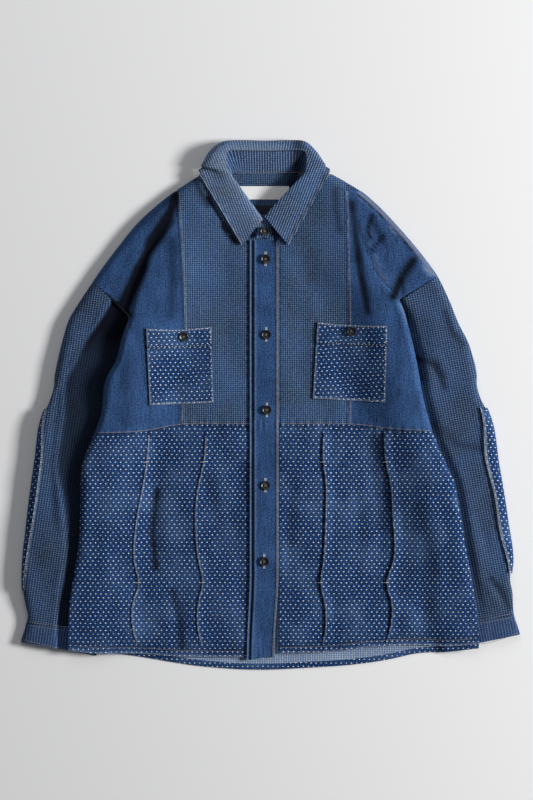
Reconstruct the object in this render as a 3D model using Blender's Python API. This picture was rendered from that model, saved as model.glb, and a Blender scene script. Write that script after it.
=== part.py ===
"""A patched boro jacket laid flat on its back, every piece of cloth a thin wall of its own.

The origin is at the middle of the outline, on the surface that the jacket lies on. +Y runs from the hem
to the collar, +X to the viewer's right and +Z up. Sizes are in millimetres until a mesh is made.
Each half is worked out with its own outlines, given by the distance outward from the middle of the plan.
"""

import math
from dataclasses import dataclass

import bmesh
import bpy
import numpy as np

MM = 0.001

# Cloth, and how close its layers lie
CLOTH = 1.5
DOUBLED = 2.0
SEAM_GAP = 0.3
LAY = 0.6
TUCK_CLEAR = 1.0

# Heights of the laid jacket above the surface
EDGE_HEIGHT = 4.6
TUCKED_HEIGHT = 9.5
TUCKED_RISE = 45.0
SLEEVE_PUFF = 5.5
SHOULDER_HEIGHT = 15.0
MIDDLE_HEIGHT = 7.0
FOLD_RADIUS = 14.0
RIDGE_RADIUS = 11.0
SWELL_FROM = 120.0
SWELL_TO = 24.0
BACK_RAMP = 25.0

# Tucks of the skirt: a steep step on the viewer's left of the crest and a long slope on its right
TUCK_HEIGHT = 3.4
TUCK_STEP = 3.0
TUCK_CREST = 0.5
TUCK_SLOPE = 14.0

# Collar, buttons and labels
BUTTON_RADIUS = 7.0
BUTTON_HEIGHT = 2.6
BUTTON_SIDES = 14
FRONT_BUTTONS = ((-7.5, 219.0), (-6.5, 105.5), (-5.7, -7.7), (-7.7, -120.7), (-9.5, -235.0))
STAND_BUTTON = (-8.8, 260.5)
STAND_BUTTON_SEAT = 12.7
COLLAR_SEAM_Y = 347.0
LABEL_THICKNESS = 0.6

# Placket, from its free edge to the edge that is sewn to the front
PLACKET_FREE_X = -31.0
PLACKET_SEWN_X = 12.0
PLACKET_TOP_Y = 247.5
PLACKET_FOOT_Y = -383.5
UNDERLAP_X = 5.0


def smooth(x, start, end):
    """0 at start and 1 at end, with no corner at either."""
    t = np.clip((np.asarray(x, float) - start) / (end - start), 0.0, 1.0)
    return t * t * (3.0 - 2.0 * t)


def rounded(x, radius):
    """The height, from 0 to 1, of a quarter circle that starts at 0."""
    t = np.clip(np.asarray(x, float) / radius, 0.0, 1.0)
    return np.sqrt(1.0 - (1.0 - t) ** 2)


# Colour and roughness of each finish
LOOKS = {
    "denim": ((0.035, 0.085, 0.235), 0.9),
    "check": ((0.055, 0.105, 0.22), 0.9),
    "dotted": ((0.06, 0.12, 0.29), 0.9),
    "horn": ((0.02, 0.02, 0.024), 0.35),
    "neck": ((0.85, 0.85, 0.84), 0.8),
    "size": ((0.02, 0.022, 0.035), 0.85),
}


class Line:
    """A smooth line through a few points, giving its other coordinate from the one it runs along."""

    def __init__(self, *points, along="y"):
        axis = 1 if along == "y" else 0
        ordered = sorted(points, key=lambda point: point[axis])
        self.at = np.array([point[axis] for point in ordered], float)
        self.value = np.array([point[1 - axis] for point in ordered], float)
        step = np.diff(self.at)
        slope = np.diff(self.value) / step
        inner = (slope[:-1] * step[1:] + slope[1:] * step[:-1]) / (step[1:] + step[:-1])
        self.slope = np.concatenate([slope[:1], inner, slope[-1:]])

    def __call__(self, at):
        at = np.clip(np.asarray(at, float), self.at[0], self.at[-1])
        i = np.clip(np.searchsorted(self.at, at) - 1, 0, len(self.at) - 2)
        step = self.at[i + 1] - self.at[i]
        t = (at - self.at[i]) / step
        return (
            self.value[i] * (1 + 2 * t) * (1 - t) ** 2
            + self.value[i + 1] * t * t * (3 - 2 * t)
            + step * t * (1 - t) * (self.slope[i] * (1 - t) - self.slope[i + 1] * t)
        )

    def lean(self, at):
        """How far the line moves sideways for each millimetre along."""
        return (self(np.asarray(at) + 1.0) - self(np.asarray(at) - 1.0)) / 2.0


@dataclass
class Half:
    """One half of the jacket: its plan lines, by the distance outward from x = 0."""

    name: str
    sign: int
    outline: Line
    body_edge: Line
    tucked_edge: Line
    tip: tuple
    pit: tuple
    seam: Line
    neck: Line
    centre_x: float
    waist: Line
    front_hem: Line
    tucks: tuple
    valleys: tuple
    cuff_y: tuple
    cuff_foot: tuple
    pocket: tuple
    pocket_button: tuple
    patch_width: Line
    patch_y: tuple

    def outline_gap(self, x, y):
        """How far a point lies inside the silhouette of shoulder and sleeve."""
        return (self.outline(y) - x) / np.sqrt(1.0 + self.outline.lean(y) ** 2)

    def armhole(self, y):
        """The armhole seam on the plan, from the shoulder tip to where the body covers it."""
        share = (self.tip[1] - y) / (self.tip[1] - self.pit[1])
        return self.tip[0] + (self.pit[0] - self.tip[0]) * share

    def limit(self, y):
        """The outer edge of the body's cloth on the plan: shoulder fold, armhole seam, then side."""
        below_tip = np.where(y > self.pit[1], self.armhole(y), self.body_edge(y))
        return np.where(y > self.tip[1], self.outline(y), below_tip)

    def tucked_top(self, x, y, early=0.0):
        """The top of the sleeve where the body lies on it; early starts its rise to the armhole lower."""
        near_pit = smooth(y + early, self.pit[1] - 40.0, self.pit[1])
        rise = smooth(x - self.tucked_edge(y), 0.0, TUCKED_RISE)
        hidden = EDGE_HEIGHT + (TUCKED_HEIGHT - EDGE_HEIGHT) * rise
        return hidden + (TUCKED_HEIGHT - hidden) * near_pit

    def sleeve_top(self, x, y):
        """The top of the sleeve and cuff, tucked part and puffed part."""
        near_pit = smooth(y, self.pit[1] - 40.0, self.pit[1])
        beside = smooth(x - self.body_edge(y), 1.0, 15.0)
        beside = beside + (1.0 - beside) * near_pit
        narrow = 0.25 + 0.75 * smooth(y, self.cuff_y[0], self.cuff_y[0] + 70.0)
        full = self.tucked_top(x, y) + SLEEVE_PUFF * beside * narrow
        return EDGE_HEIGHT + (full - EDGE_HEIGHT) * rounded(self.outline_gap(x, y), FOLD_RADIUS)

    def back_top(self, x, y):
        """The inner face of the back, flat on the surface and lifted where a sleeve lies under it."""
        from_edge = x - np.minimum(self.tucked_edge(y), self.body_edge(y) - BACK_RAMP)
        lift = smooth(from_edge, -BACK_RAMP, -5.0) * smooth(y, self.pit[1] + 22.0, self.pit[1] + 3.0)
        neck = 3.5 * smooth(y, 327.0, 345.0) * smooth(x, 100.0, 70.0)
        return CLOTH + lift * (self.tucked_top(x, y, early=14.0) + TUCK_CLEAR) + neck

    def relief(self, x, y):
        """The tucks and the soft valleys of the skirt."""
        total = 0.0
        for tuck in self.tucks:
            side = self.sign * (x - tuck(y))
            ridge = smooth(side, -TUCK_STEP, TUCK_CREST) * (1.0 - smooth(side, TUCK_CREST, TUCK_SLOPE))
            total = total + TUCK_HEIGHT * ridge * smooth(y, -372.0, -330.0) * smooth(y, -28.0, -60.0)
        for at_x, at_y, wide, long, deep in self.valleys:
            total = total - deep * np.exp(-(((x - at_x) / wide) ** 2) - ((y - at_y) / long) ** 2)
        return total

    def front_top(self, x, y):
        """The outer face of the front: low in the middle, swelling towards the side fold."""
        inside = self.body_edge(y) - x
        ridge = RIDGE_HEIGHT(y)
        full = MIDDLE_HEIGHT + (ridge - MIDDLE_HEIGHT) * smooth(inside, SWELL_FROM, SWELL_TO)
        full = full + self.relief(x, y)
        shoulder = rounded(self.outline_gap(x, y), FOLD_RADIUS)
        full = EDGE_HEIGHT + (full - EDGE_HEIGHT) * shoulder
        arm = EDGE_HEIGHT + (SHOULDER_HEIGHT - EDGE_HEIGHT) * shoulder
        seated = self.back_top(x, y) + LAY + CLOTH + SEAM_GAP
        low = seated + (arm - seated) * smooth(y, self.pit[1] - 40.0, self.pit[1] - 5.0)
        top = low + (full - low) * rounded(inside, RIDGE_RADIUS)
        at_hem = 0.3 + 0.7 * smooth(y - self.front_hem(x), 0.0, 28.0)
        return seated + (top - seated) * at_hem


RIDGE_HEIGHT = Line(
    (16, 300), (17, 230), (21, 170), (24, 120), (24, -40), (22, -120), (18, -250), (14, -340),
)

LEFT = Half(
    name="left",
    sign=-1,
    outline=Line(
        (103, 347), (138, 325), (190, 283), (234, 231), (264, 190), (286, 157), (302, 131), (314, 93),
        (337, 1.5), (343, -12), (355, -82), (369, -190), (374, -241), (373, -290), (367, -322), (375.5, -356),
    ),
    body_edge=Line(
        (144, 313), (140, 291), (169, 244), (184, 225), (191, 198), (203, 168), (211, 135), (224, 97),
        (233, 64), (244, 45), (256, -21), (264, -42), (283, -94), (285, -142), (288, -210), (295, -255),
        (301, -294),
        (303, -335), (303, -369),
    ),
    tucked_edge=Line(
        (212, 135), (225, 97), (217, 70), (200, 20), (192, -30), (200, -82), (221, -142), (247, -255),
        (258, -334), (262, -380),
    ),
    tip=(267, 186),
    pit=(211, 135),
    seam=Line((139.5, 327), (130, 157), (129, 118), (134, 0), (136, -45)),
    neck=Line((20, 256), (42, 276), (60, 298), (78, 330), (88, 347)),
    centre_x=-UNDERLAP_X,
    waist=Line((-12, -29.5), (31, -29.5), (158, -34), (174, -37.5), (195, -40.5), (265, -43), along="x"),
    front_hem=Line((-12, -379), (44, -379), (131, -378), (208, -373.5), (259, -373.5), (303, -368), along="x"),
    tucks=(
        Line((100.4, -368), (107, -348), (108.7, -297), (102, -267), (108.7, -232), (109.5, -126), (100.4, -84),
             (96.7, -39)),
        Line((197.5, -366), (206, -340), (206.7, -297), (198.5, -270), (204.5, -235), (198.7, -159),
             (193, -129), (186.7, -91), (182, -40)),
    ),
    valleys=((172, -165, 13, 75, 3.2), (138, -315, 12, 45, 2.4), (66, -195, 14, 50, 1.8)),
    cuff_y=(-328, -336),
    cuff_foot=((375.4, -355.5), (303, -371.5), (262, -377)),
    pocket=((185.5, 114.3), (88.6, 117.9), (85.5, 3.0), (180.9, 0.0)),
    pocket_button=(130, 102.3),
    patch_width=Line((4, -4), (10, -60), (7, -240), (4, -276)),
    patch_y=(-6, -278),
)

RIGHT = Half(
    name="right",
    sign=1,
    outline=Line(
        (92, 347), (135.5, 322), (158, 303), (194, 265.5), (233, 219), (251, 194), (267.6, 160.5),
        (285, 118.5), (296, 97.5), (306, 67.5), (320, 7.5), (327, -6), (344.5, -91.5), (357.5, -172.5),
        (365.3, -236),
        (363, -262), (367, -285), (365, -306), (375.5, -345),
    ),
    body_edge=Line(
        (116, 300), (131, 259), (164, 189), (191, 160), (207, 117), (219, 67.5), (229, 12), (243, -40),
        (263, -88), (274, -112), (281, -145), (293, -216), (301.5, -259), (310, -319), (313, -358.5),
    ),
    tucked_edge=Line(
        (192, 157), (208.5, 115), (206, 75), (195, 20), (197, -30), (205, -82), (228, -142), (256, -255),
        (268, -334), (271, -380),
    ),
    tip=(250.5, 193.5),
    pit=(191.5, 157),
    seam=Line((113, 326), (117, 157), (117.5, 124), (117.7, 4), (116, -45)),
    neck=Line((14, 252), (22, 262), (38, 280), (52, 300), (66, 325), (76, 347)),
    centre_x=PLACKET_SEWN_X + SEAM_GAP,
    waist=Line((5, -29.5), (128, -30.6), (148, -32.5), (170, -35.5), (243, -40), along="x"),
    front_hem=Line((5, -374), (75, -372), (173, -362.5), (220, -360.5), (269, -362), (313, -358.5), along="x"),
    tucks=(
        Line((76, -366), (82, -340), (82, -304), (75, -266), (79, -235), (82.5, -168), (83, -117), (78.7, -84),
             (79.6, -35)),
        Line((174, -357), (180, -333), (182, -300), (174, -266), (184, -235), (183.3, -168), (178.6, -112),
             (173, -88), (169.6, -40)),
    ),
    valleys=((20, -180, 12, 90, 2.2), (168, -165, 10, 60, 2.6), (232, -315, 14, 45, 3.0)),
    cuff_y=(-316, -325),
    cuff_foot=((375.4, -344.5), (331.5, -360), (271, -366)),
    pocket=((70.8, 124.0), (174.7, 118.6), (171.7, 3.9), (63.8, 9.9)),
    pocket_button=(121.2, 110.2),
    patch_width=Line((10, -2), (19, -75), (15, -130), (12, -216), (4, -250)),
    patch_y=(-4, -252),
)

HALVES = (LEFT, RIGHT)
BACK_HEM = Line(
    (-303, -367), (-208, -376.5), (-104, -392.5), (-19.5, -398), (57, -395), (130, -389.7), (179, -382.5),
    (220, -373.5), (269, -370.5), (313, -365.0), along="x",
)


def half_at(x):
    """The half that a plan position belongs to, and the distance outward there."""
    half = LEFT if x < 0 else RIGHT
    return half, abs(x)


def front_height(x, y):
    """The front's outer face at a plan position, the higher of the two fronts where they cross the middle."""
    half, outward = half_at(x)
    own = float(half.front_top(outward, y))
    if abs(x) > PLACKET_SEWN_X:
        return own
    return max(own, float(LEFT.front_top(-x, y)), float(RIGHT.front_top(x, y)))


def material(name, colour, roughness):
    """A Principled material of one colour."""
    made = bpy.data.materials.new(name)
    made.use_nodes = True
    shader = made.node_tree.nodes["Principled BSDF"]
    shader.inputs["Base Color"].default_value = (*colour, 1.0)
    shader.inputs["Roughness"].default_value = roughness
    shader.inputs["Metallic"].default_value = 0.0
    return made


def add_mesh(name, points, faces, look, round_shape=False):
    """One closed body, from points in millimetres."""
    mesh = bpy.data.meshes.new(name)
    mesh.from_pydata([tuple(float(c) * MM for c in point) for point in points], [], faces)
    shape = bmesh.new()
    shape.from_mesh(mesh)
    bmesh.ops.recalc_face_normals(shape, faces=shape.faces)
    shape.to_mesh(mesh)
    shape.free()
    if round_shape:
        mesh.shade_smooth()
        mesh.set_sharp_from_angle(angle=math.radians(40))
    colour, roughness = LOOKS[look]
    mesh.materials.append(material(name + "_finish", colour, roughness))
    made = bpy.data.objects.new(name, mesh)
    bpy.context.scene.collection.objects.link(made)
    return made


def grid_normals(grid):
    """The unit normal at each point of a grid, from its neighbours."""
    across = np.gradient(grid, axis=1)
    along = np.gradient(grid, axis=0)
    normal = np.cross(across, along)
    return normal / np.linalg.norm(normal, axis=2, keepdims=True)


def add_shell(name, outer, inner, look):
    """One closed body between two grids of points, its outer face and its inner one."""
    rows, columns = outer.shape[:2]
    points = np.concatenate([outer.reshape(-1, 3), inner.reshape(-1, 3)])
    below = rows * columns
    faces = []
    for i in range(rows - 1):
        for j in range(columns - 1):
            a = i * columns + j
            b = a + columns
            faces.append((a, a + 1, b + 1, b))
            faces.append((below + a, below + b, below + b + 1, below + a + 1))
    rim = list(range(columns))
    rim += [i * columns + columns - 1 for i in range(1, rows)]
    rim += [(rows - 1) * columns + j for j in range(columns - 2, -1, -1)]
    rim += [i * columns for i in range(rows - 2, 0, -1)]
    for k, first in enumerate(rim):
        second = rim[(k + 1) % len(rim)]
        faces.append((first, second, below + second, below + first))
    add_mesh(name, points, faces, look)


def add_wall(name, grid, thickness, look, inward=None):
    """A wall from a grid of points on its outer face; without inward its other face is the lower one."""
    grid = np.asarray(grid, float)
    normal = grid_normals(grid)
    upright = inward is None
    if upright:
        inward = -1.0 if normal[:, :, 2].sum() > 0 else 1.0
    under = grid + normal * inward * thickness
    if upright:
        drop = thickness * np.minimum(1.0 / np.maximum(np.abs(normal[:, :, 2]), 0.1), 1.5)
        for edge in (np.s_[0, :], np.s_[-1, :], np.s_[:, 0], np.s_[:, -1]):
            under[edge] = grid[edge]
            under[edge][..., 2] -= drop[edge]
    under[:, :, 2] = np.maximum(under[:, :, 2], 0.0)
    add_shell(name, grid, under, look)


def columns_between(guides, splits):
    """Column positions as (guide, share), with splits[k] columns between guides k and k + 1."""
    found = []
    for k, count in enumerate(splits):
        found += [(k, j / count) for j in range(count)]
    return found + [(len(guides) - 2, 1.0)]


def plan_grid(half, guides, splits, shares, top, bottom):
    """Plan points of a panel: its columns follow the guides, its rows run from the top line to the bottom."""
    grid = []
    for share in shares:
        row = []
        for k, w in columns_between(guides, splits):
            y = float(top(0.0)) * (1 - share) + float(bottom(half.body_edge(-40.0) * 0.6)) * share
            for _ in range(5):
                x = float(guides[k](y)) * (1 - w) + float(guides[k + 1](y)) * w
                y = float(top(x)) * (1 - share) + float(bottom(x)) * share
            row.append((x, y))
        grid.append(row)
    return grid


def raise_grid(half, plan, height):
    """Plan points by distance outward, set at their height and at their own side of the middle."""
    return [[(half.sign * x, y, float(height(x, y))) for x, y in row] for row in plan]


def even(count):
    """Shares from 0 to 1 in equal steps."""
    return [i / count for i in range(count + 1)]


def shares_through(top_y, foot_y, stops, step):
    """Shares of the way from top to foot that pass through the stops, no further apart than the step."""
    marks = [top_y, *sorted(stops, reverse=True), foot_y]
    found = [0.0]
    for first, second in zip(marks, marks[1:]):
        count = max(1, math.ceil((first - second) / step))
        for i in range(1, count + 1):
            found.append((top_y - first + (first - second) * i / count) / (top_y - foot_y))
    return found


def offset_line(line, by):
    """A line moved sideways."""
    return lambda y: line(y) + by


def add_outer_front(half):
    """The plain outer front: chest, the fold at the side, and the shoulder beyond the fold."""
    top_y = 321.0
    foot = offset_line(half.waist, SEAM_GAP / 2)

    def limit(y):
        return half.limit(y) - np.where(y < half.pit[1], 0.0, 0.15)

    def foot_of_fold(y):
        wide = limit(y) - half.seam(y)
        return np.minimum(half.body_edge(y) + 0.5, limit(y) - 0.12 * wide)

    def top_of_fold(y):
        return np.maximum(foot_of_fold(y) - 9.0, half.seam(y) + 0.6 * (foot_of_fold(y) - half.seam(y)))

    guides = [offset_line(half.seam, SEAM_GAP / 2), top_of_fold, foot_of_fold, limit]
    shares = shares_through(top_y, float(foot(half.body_edge(-40.0))), [half.tip[1], half.pit[1]], 21.0)
    plan = plan_grid(half, guides, (5, 3, 4), shares, lambda x: top_y, foot)
    add_wall(f"front_outer_{half.name}", raise_grid(half, plan, half.front_top), CLOTH, "denim")


def add_inner_front(half):
    """The checked inner front, from the neck to the waist and from the middle to the long seam."""
    top_y = 346.0
    foot = offset_line(half.waist, SEAM_GAP / 2)

    def middle(y):
        return np.where(y > half.neck.at[0], half.neck(y), half.centre_x)

    def seam(y):
        return np.minimum(half.seam(y) - SEAM_GAP / 2, half.outline(y) - 0.4)

    shares = shares_through(top_y, float(foot(60.0)), [half.neck.at[0] + 0.5, half.neck.at[0] - 0.5], 24.0)
    plan = plan_grid(half, [middle, seam], (6,), shares, lambda x: top_y, foot)
    add_wall(f"front_inner_{half.name}", raise_grid(half, plan, half.front_top), CLOTH, "check")


def add_front_skirt(half):
    """The dotted skirt below the waist seam, with its two stitched tucks."""
    head = offset_line(half.waist, -SEAM_GAP / 2)
    near, far = (-TUCK_SLOPE, TUCK_STEP) if half.sign < 0 else (-TUCK_STEP, TUCK_SLOPE)
    crest = TUCK_CREST * half.sign
    guides = [lambda y: half.centre_x + 0.0 * y]
    for tuck in half.tucks:
        guides += [offset_line(tuck, near), offset_line(tuck, crest), offset_line(tuck, far)]
    guides += [offset_line(half.body_edge, -9.0), half.body_edge]
    across_tuck = (2, 1) if half.sign < 0 else (1, 2)
    splits = (4, *across_tuck, 3, *across_tuck, 3, 3)
    plan = plan_grid(half, guides, splits, even(14), head, half.front_hem)
    add_wall(f"skirt_{half.name}", raise_grid(half, plan, half.front_top), CLOTH, "dotted")


def back_grid(top_y, foot, shares, margin, splits):
    """Grid of a back panel across both halves, on its inner face."""
    def beside(half, inside, share):
        return lambda y: half.sign * np.minimum(half.tucked_edge(y) - inside, half.limit(y) * share)

    guides = (
        lambda y: -(LEFT.limit(y) - margin),
        beside(LEFT, 4.0, 0.9),
        beside(LEFT, BACK_RAMP + 1.0, 0.75),
        beside(RIGHT, BACK_RAMP + 1.0, 0.75),
        beside(RIGHT, 4.0, 0.9),
        lambda y: RIGHT.limit(y) - margin,
    )
    plan = plan_grid(RIGHT, guides, splits, shares, top_y, foot)
    grid = []
    for row in plan:
        heights = []
        for x, y in row:
            half, outward = half_at(x)
            heights.append((x, y, float(half.back_top(outward, y))))
        grid.append(heights)
    return grid


def add_back():
    """The back: a checked upper piece from neck to waist, and a dotted skirt."""
    waist_y = -38.0
    stops = [327.0, 95.0]
    for half in HALVES:
        stops += [half.tip[1], half.pit[1] + 20.0, half.pit[1]]
    upper = shares_through(COLLAR_SEAM_Y, waist_y, stops, 26.0)
    splits = (4, 3, 6, 3, 4)
    grid = back_grid(lambda x: COLLAR_SEAM_Y, lambda x: waist_y, upper, 0.6, splits)
    add_wall("back_upper", grid, CLOTH, "check")
    grid = back_grid(lambda x: waist_y - SEAM_GAP, BACK_HEM, even(11), 0.6, splits)
    add_wall("back_skirt", grid, CLOTH, "dotted")


def add_tube(name, sections, look):
    """A flattened tube: each section is a pair of point lists, its outer and its inner loop."""
    outer = [section[0] for section in sections]
    inner = [section[1] for section in sections]
    around = len(outer[0])
    points = [point for loop in outer + inner for point in loop]
    inside = around * len(sections)
    faces = []
    for i in range(len(sections) - 1):
        for j in range(around):
            k = (j + 1) % around
            a, b = i * around, (i + 1) * around
            faces.append((a + j, a + k, b + k, b + j))
            faces.append((inside + a + j, inside + b + j, inside + b + k, inside + a + k))
    for end in (0, len(sections) - 1):
        a = end * around
        for j in range(around):
            k = (j + 1) % around
            faces.append((a + j, inside + a + j, inside + a + k, a + k))
    add_mesh(name, points, faces, look)


def tube_section(half, start, end, wall, inset=0.0, floor=None):
    """Outer and inner loop of a flattened tube between two plan points, by distance outward."""
    start, end = np.array(start, float), np.array(end, float)
    length = float(np.linalg.norm(end - start))
    unit = (end - start) / length
    covered = length * 0.8
    for _ in range(6):
        x, y = start + unit * covered
        covered += (x - float(half.body_edge(y))) / max(-unit[0], 0.5)
    covered = min(max(covered, 34.0), length - 9.0)
    spots = [2.2, 6.0, 13.0, covered * 0.5, covered - 14.0, covered - 1.0]
    spots += [covered + (length - 3.0 - covered) * s for s in (0.35, 0.7, 1.0)]

    def place(distance, z):
        x, y = start + unit * distance
        return (half.sign * x, y, z)

    def ground(distance):
        return float(floor(distance)) if floor else 0.0

    def loop(shrink):
        near, far = inset + shrink, length - shrink
        ring = [place(near, ground(0.0) + EDGE_HEIGHT * 0.5)]
        tops = []
        for spot in spots:
            distance = min(max(inset + spot, near + 0.6), far - 0.6)
            x, y = start + unit * distance
            tops.append((distance, float(half.sleeve_top(x, y)) - shrink))
        ring += [place(distance, z) for distance, z in tops]
        ring.append(place(far, EDGE_HEIGHT * 0.5))
        ring += [place(distance, ground(distance) + shrink) for distance, _ in reversed(tops)]
        return ring

    return loop(0.0), loop(wall)


def add_sleeve(half):
    """The sleeve, a flattened tube from the armhole to the cuff, tucked under the body's side."""
    rows = 17
    sections = []
    top_patch, foot_patch = half.patch_y
    for i in range(rows + 1):
        share = i / rows
        outer_y = half.tip[1] - 0.3 + (half.cuff_y[0] + 0.5 - half.tip[1]) * share
        inner_y = half.pit[1] - 0.3 + (half.cuff_y[1] + 0.5 - half.pit[1]) * share
        start = (float(half.outline(outer_y)) - 0.2, outer_y)
        clear = 3.0 if i == 0 else 1.0 if share < 0.3 else 0.0
        end = (float(half.tucked_edge(inner_y)) + clear, inner_y)
        above = smooth(outer_y, top_patch + 52.0, top_patch + 34.0)
        below = smooth(outer_y, foot_patch - 52.0, foot_patch - 34.0)
        patched = float(above * below)
        depth = patched * (CLOTH + LAY)

        def floor(distance, depth=depth):
            return depth * smooth(distance, 96.0, 74.0)

        sections.append(tube_section(half, start, end, CLOTH, depth + patched * 0.9, floor))
    add_tube(f"sleeve_{half.name}", sections, "check")


def add_cuff(half):
    """The doubled band at the sleeve's end."""
    foot = Line(*half.cuff_foot, along="x")
    sections = []
    rows = 3
    for i in range(rows + 1):
        share = i / rows
        out_x, out_foot = half.cuff_foot[0]
        in_x, in_foot = half.cuff_foot[-1]
        outer_y = half.cuff_y[0] - 0.4 + (out_foot - half.cuff_y[0] + 0.4) * share
        inner_y = half.cuff_y[1] - 0.4 + (float(foot(in_x)) - half.cuff_y[1] + 0.4) * share
        start = (min(float(half.outline(outer_y)), out_x), outer_y)
        end = (float(half.tucked_edge(inner_y)), inner_y)
        sections.append(tube_section(half, start, end, CLOTH))
    add_tube(f"cuff_{half.name}", sections, "check")


def add_elbow_patch(half):
    """The dotted patch that wraps the sleeve's outer fold, a strip of it on top and the rest below."""
    top_y, foot_y = half.patch_y
    grid = []
    for share in even(9):
        y = top_y + (foot_y - top_y) * share
        out = float(half.outline(y))
        width = float(half.patch_width(y))
        row = []
        for distance in (width + 2.0, width * 0.5 + 2.4, 2.4):
            z = float(half.sleeve_top(out - distance, y)) + LAY + CLOTH + 0.7
            row.append((half.sign * (out - distance), y, z))
        row.append((half.sign * out, y, EDGE_HEIGHT * 0.62))
        row += [(half.sign * (out - distance), y, 0.0) for distance in (2.4, 24.0, 46.0, 68.0)]
        grid.append(row)
    add_wall(f"elbow_patch_{half.name}", grid, CLOTH, "dotted", inward=float(half.sign))


def add_pocket(half):
    """The dotted chest pocket, lying on the two front panels."""
    outer_top, inner_top, inner_foot, outer_foot = (np.array(corner) for corner in half.pocket)
    grid = []
    for v in even(8):
        row = []
        for u in even(7):
            top = inner_top * (1 - u) + outer_top * u
            foot = inner_foot * (1 - u) + outer_foot * u
            x, y = top * (1 - v) + foot * v
            row.append((half.sign * x, y, float(half.front_top(x, y)) + LAY + CLOTH + 0.2))
        grid.append(row)
    add_wall(f"pocket_{half.name}", grid, CLOTH, "dotted")


def add_placket(top_of_fronts):
    """The plain band that the front buttons show on."""
    grid = []
    for y in np.linspace(PLACKET_TOP_Y, PLACKET_FOOT_Y, 27):
        lean = smooth(y, -250.0, PLACKET_FOOT_Y)
        free = PLACKET_FREE_X - 4.5 * lean
        sewn = PLACKET_SEWN_X - 6.0 * lean
        row = []
        for share in (0.0, 0.33, 0.67, 1.0):
            x = free + (sewn - free) * share
            foot = y + 7.0 * share * lean
            row.append((x, foot, top_of_fronts(x, foot) + LAY + DOUBLED))
        grid.append(row)
    add_wall("placket", grid, DOUBLED, "denim")


def add_button(name, x, y, height, lift):
    """A turned button, a raised rim round a shallow dish, lying on the slope of the cloth below it."""
    base = height(x, y) + lift
    slope_x = (height(x + 6.0, y) - height(x - 6.0, y)) / 12.0
    slope_y = (height(x, y + 6.0) - height(x, y - 6.0)) / 12.0
    profile = ((0.72, 0.0), (1.0, 0.35), (1.0, 0.8), (0.88, 1.0), (0.7, 0.72))
    points = [(x, y, base)]
    for radius, level in profile:
        for k in range(BUTTON_SIDES):
            angle = 2 * math.pi * k / BUTTON_SIDES
            east = BUTTON_RADIUS * radius * math.cos(angle)
            north = BUTTON_RADIUS * radius * math.sin(angle)
            rise = base + BUTTON_HEIGHT * level + east * slope_x + north * slope_y
            points.append((x + east, y + north, rise))
    points.append((x, y, base + BUTTON_HEIGHT * 0.66))
    top = len(points) - 1
    faces = []
    for k in range(BUTTON_SIDES):
        n = (k + 1) % BUTTON_SIDES
        faces.append((0, 1 + n, 1 + k))
        for ring in range(len(profile) - 1):
            a = 1 + ring * BUTTON_SIDES
            b = a + BUTTON_SIDES
            faces.append((a + k, a + n, b + n, b + k))
        last = 1 + (len(profile) - 1) * BUTTON_SIDES
        faces.append((last + k, last + n, top))
    add_mesh(name, points, faces, "horn", round_shape=True)


# Collar stations: the point on the inner roll, the point on the outer edge, how far the leaf turns back
# under from there, and the height of the roll. A turn of 0 lies on the front, and DROP hangs to the surface.
DROP = -1
COLLAR = (
    ((-11, 278.5), (-43, 240), 0, 16.8),
    ((-24, 297), (-59, 267), 0, 17.6),
    ((-37, 315), (-75, 294), 0, 18.5),
    ((-50, 333), (-92, 322), 0, 20.0),
    ((-61, 349), (-107.5, 349), 0, 21.5),
    ((-63.5, 356), (-103, 357), DROP, 21.8),
    ((-65, 362), (-97, 364), 10, 22.0),
    ((-66.5, 374), (-83, 381), 22, 22.5),
    ((-62, 380.5), (-68, 396), 36, 23.0),
    ((-40, 380.8), (-40, 397.6), 46, 23.0),
    ((-7, 380.2), (-7, 396.6), 46, 23.0),
    ((26, 380.8), (26, 397.6), 46, 23.0),
    ((48, 380.5), (48, 396.4), 36, 23.0),
    ((53.5, 374), (62, 381), 20, 22.5),
    ((54, 363), (74, 367), 9, 22.0),
    ((53, 357), (82, 359), DROP, 21.8),
    ((52, 350), (89, 350), 0, 21.5),
    ((37, 333), (74, 322), 0, 20.5),
    ((21, 316), (58, 294), 0, 19.5),
    ((5, 299), (43, 267), 0, 18.5),
    ((-9, 282), (27, 240), 0, 17.5),
)


def leaf_on_front(roll, unit, length, height):
    """A collar leaf from its roll down to the front that it lies on, as outer points."""
    edge = roll + unit * length
    seat = front_height(*edge) + LAY + DOUBLED
    row = []
    for share in (0.0, 0.1, 0.3, 0.52, 0.74, 0.9, 1.0):
        fall = 1.0 - smooth(share, 0.2, 1.15)
        z = seat + (height + 1.2 - seat) * float(fall) - (1.2 if share == 0.0 else 0.0)
        x, y = roll + unit * length * share
        near = ((0, 0), (9, 0), (-9, 0), (0, 9), (0, -9), (7, -7), (-7, -7))
        below = max(front_height(x + east, y + north) for east, north in near)
        row.append((x, y, max(z, below + LAY + DOUBLED + 0.3)))
    return row


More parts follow.
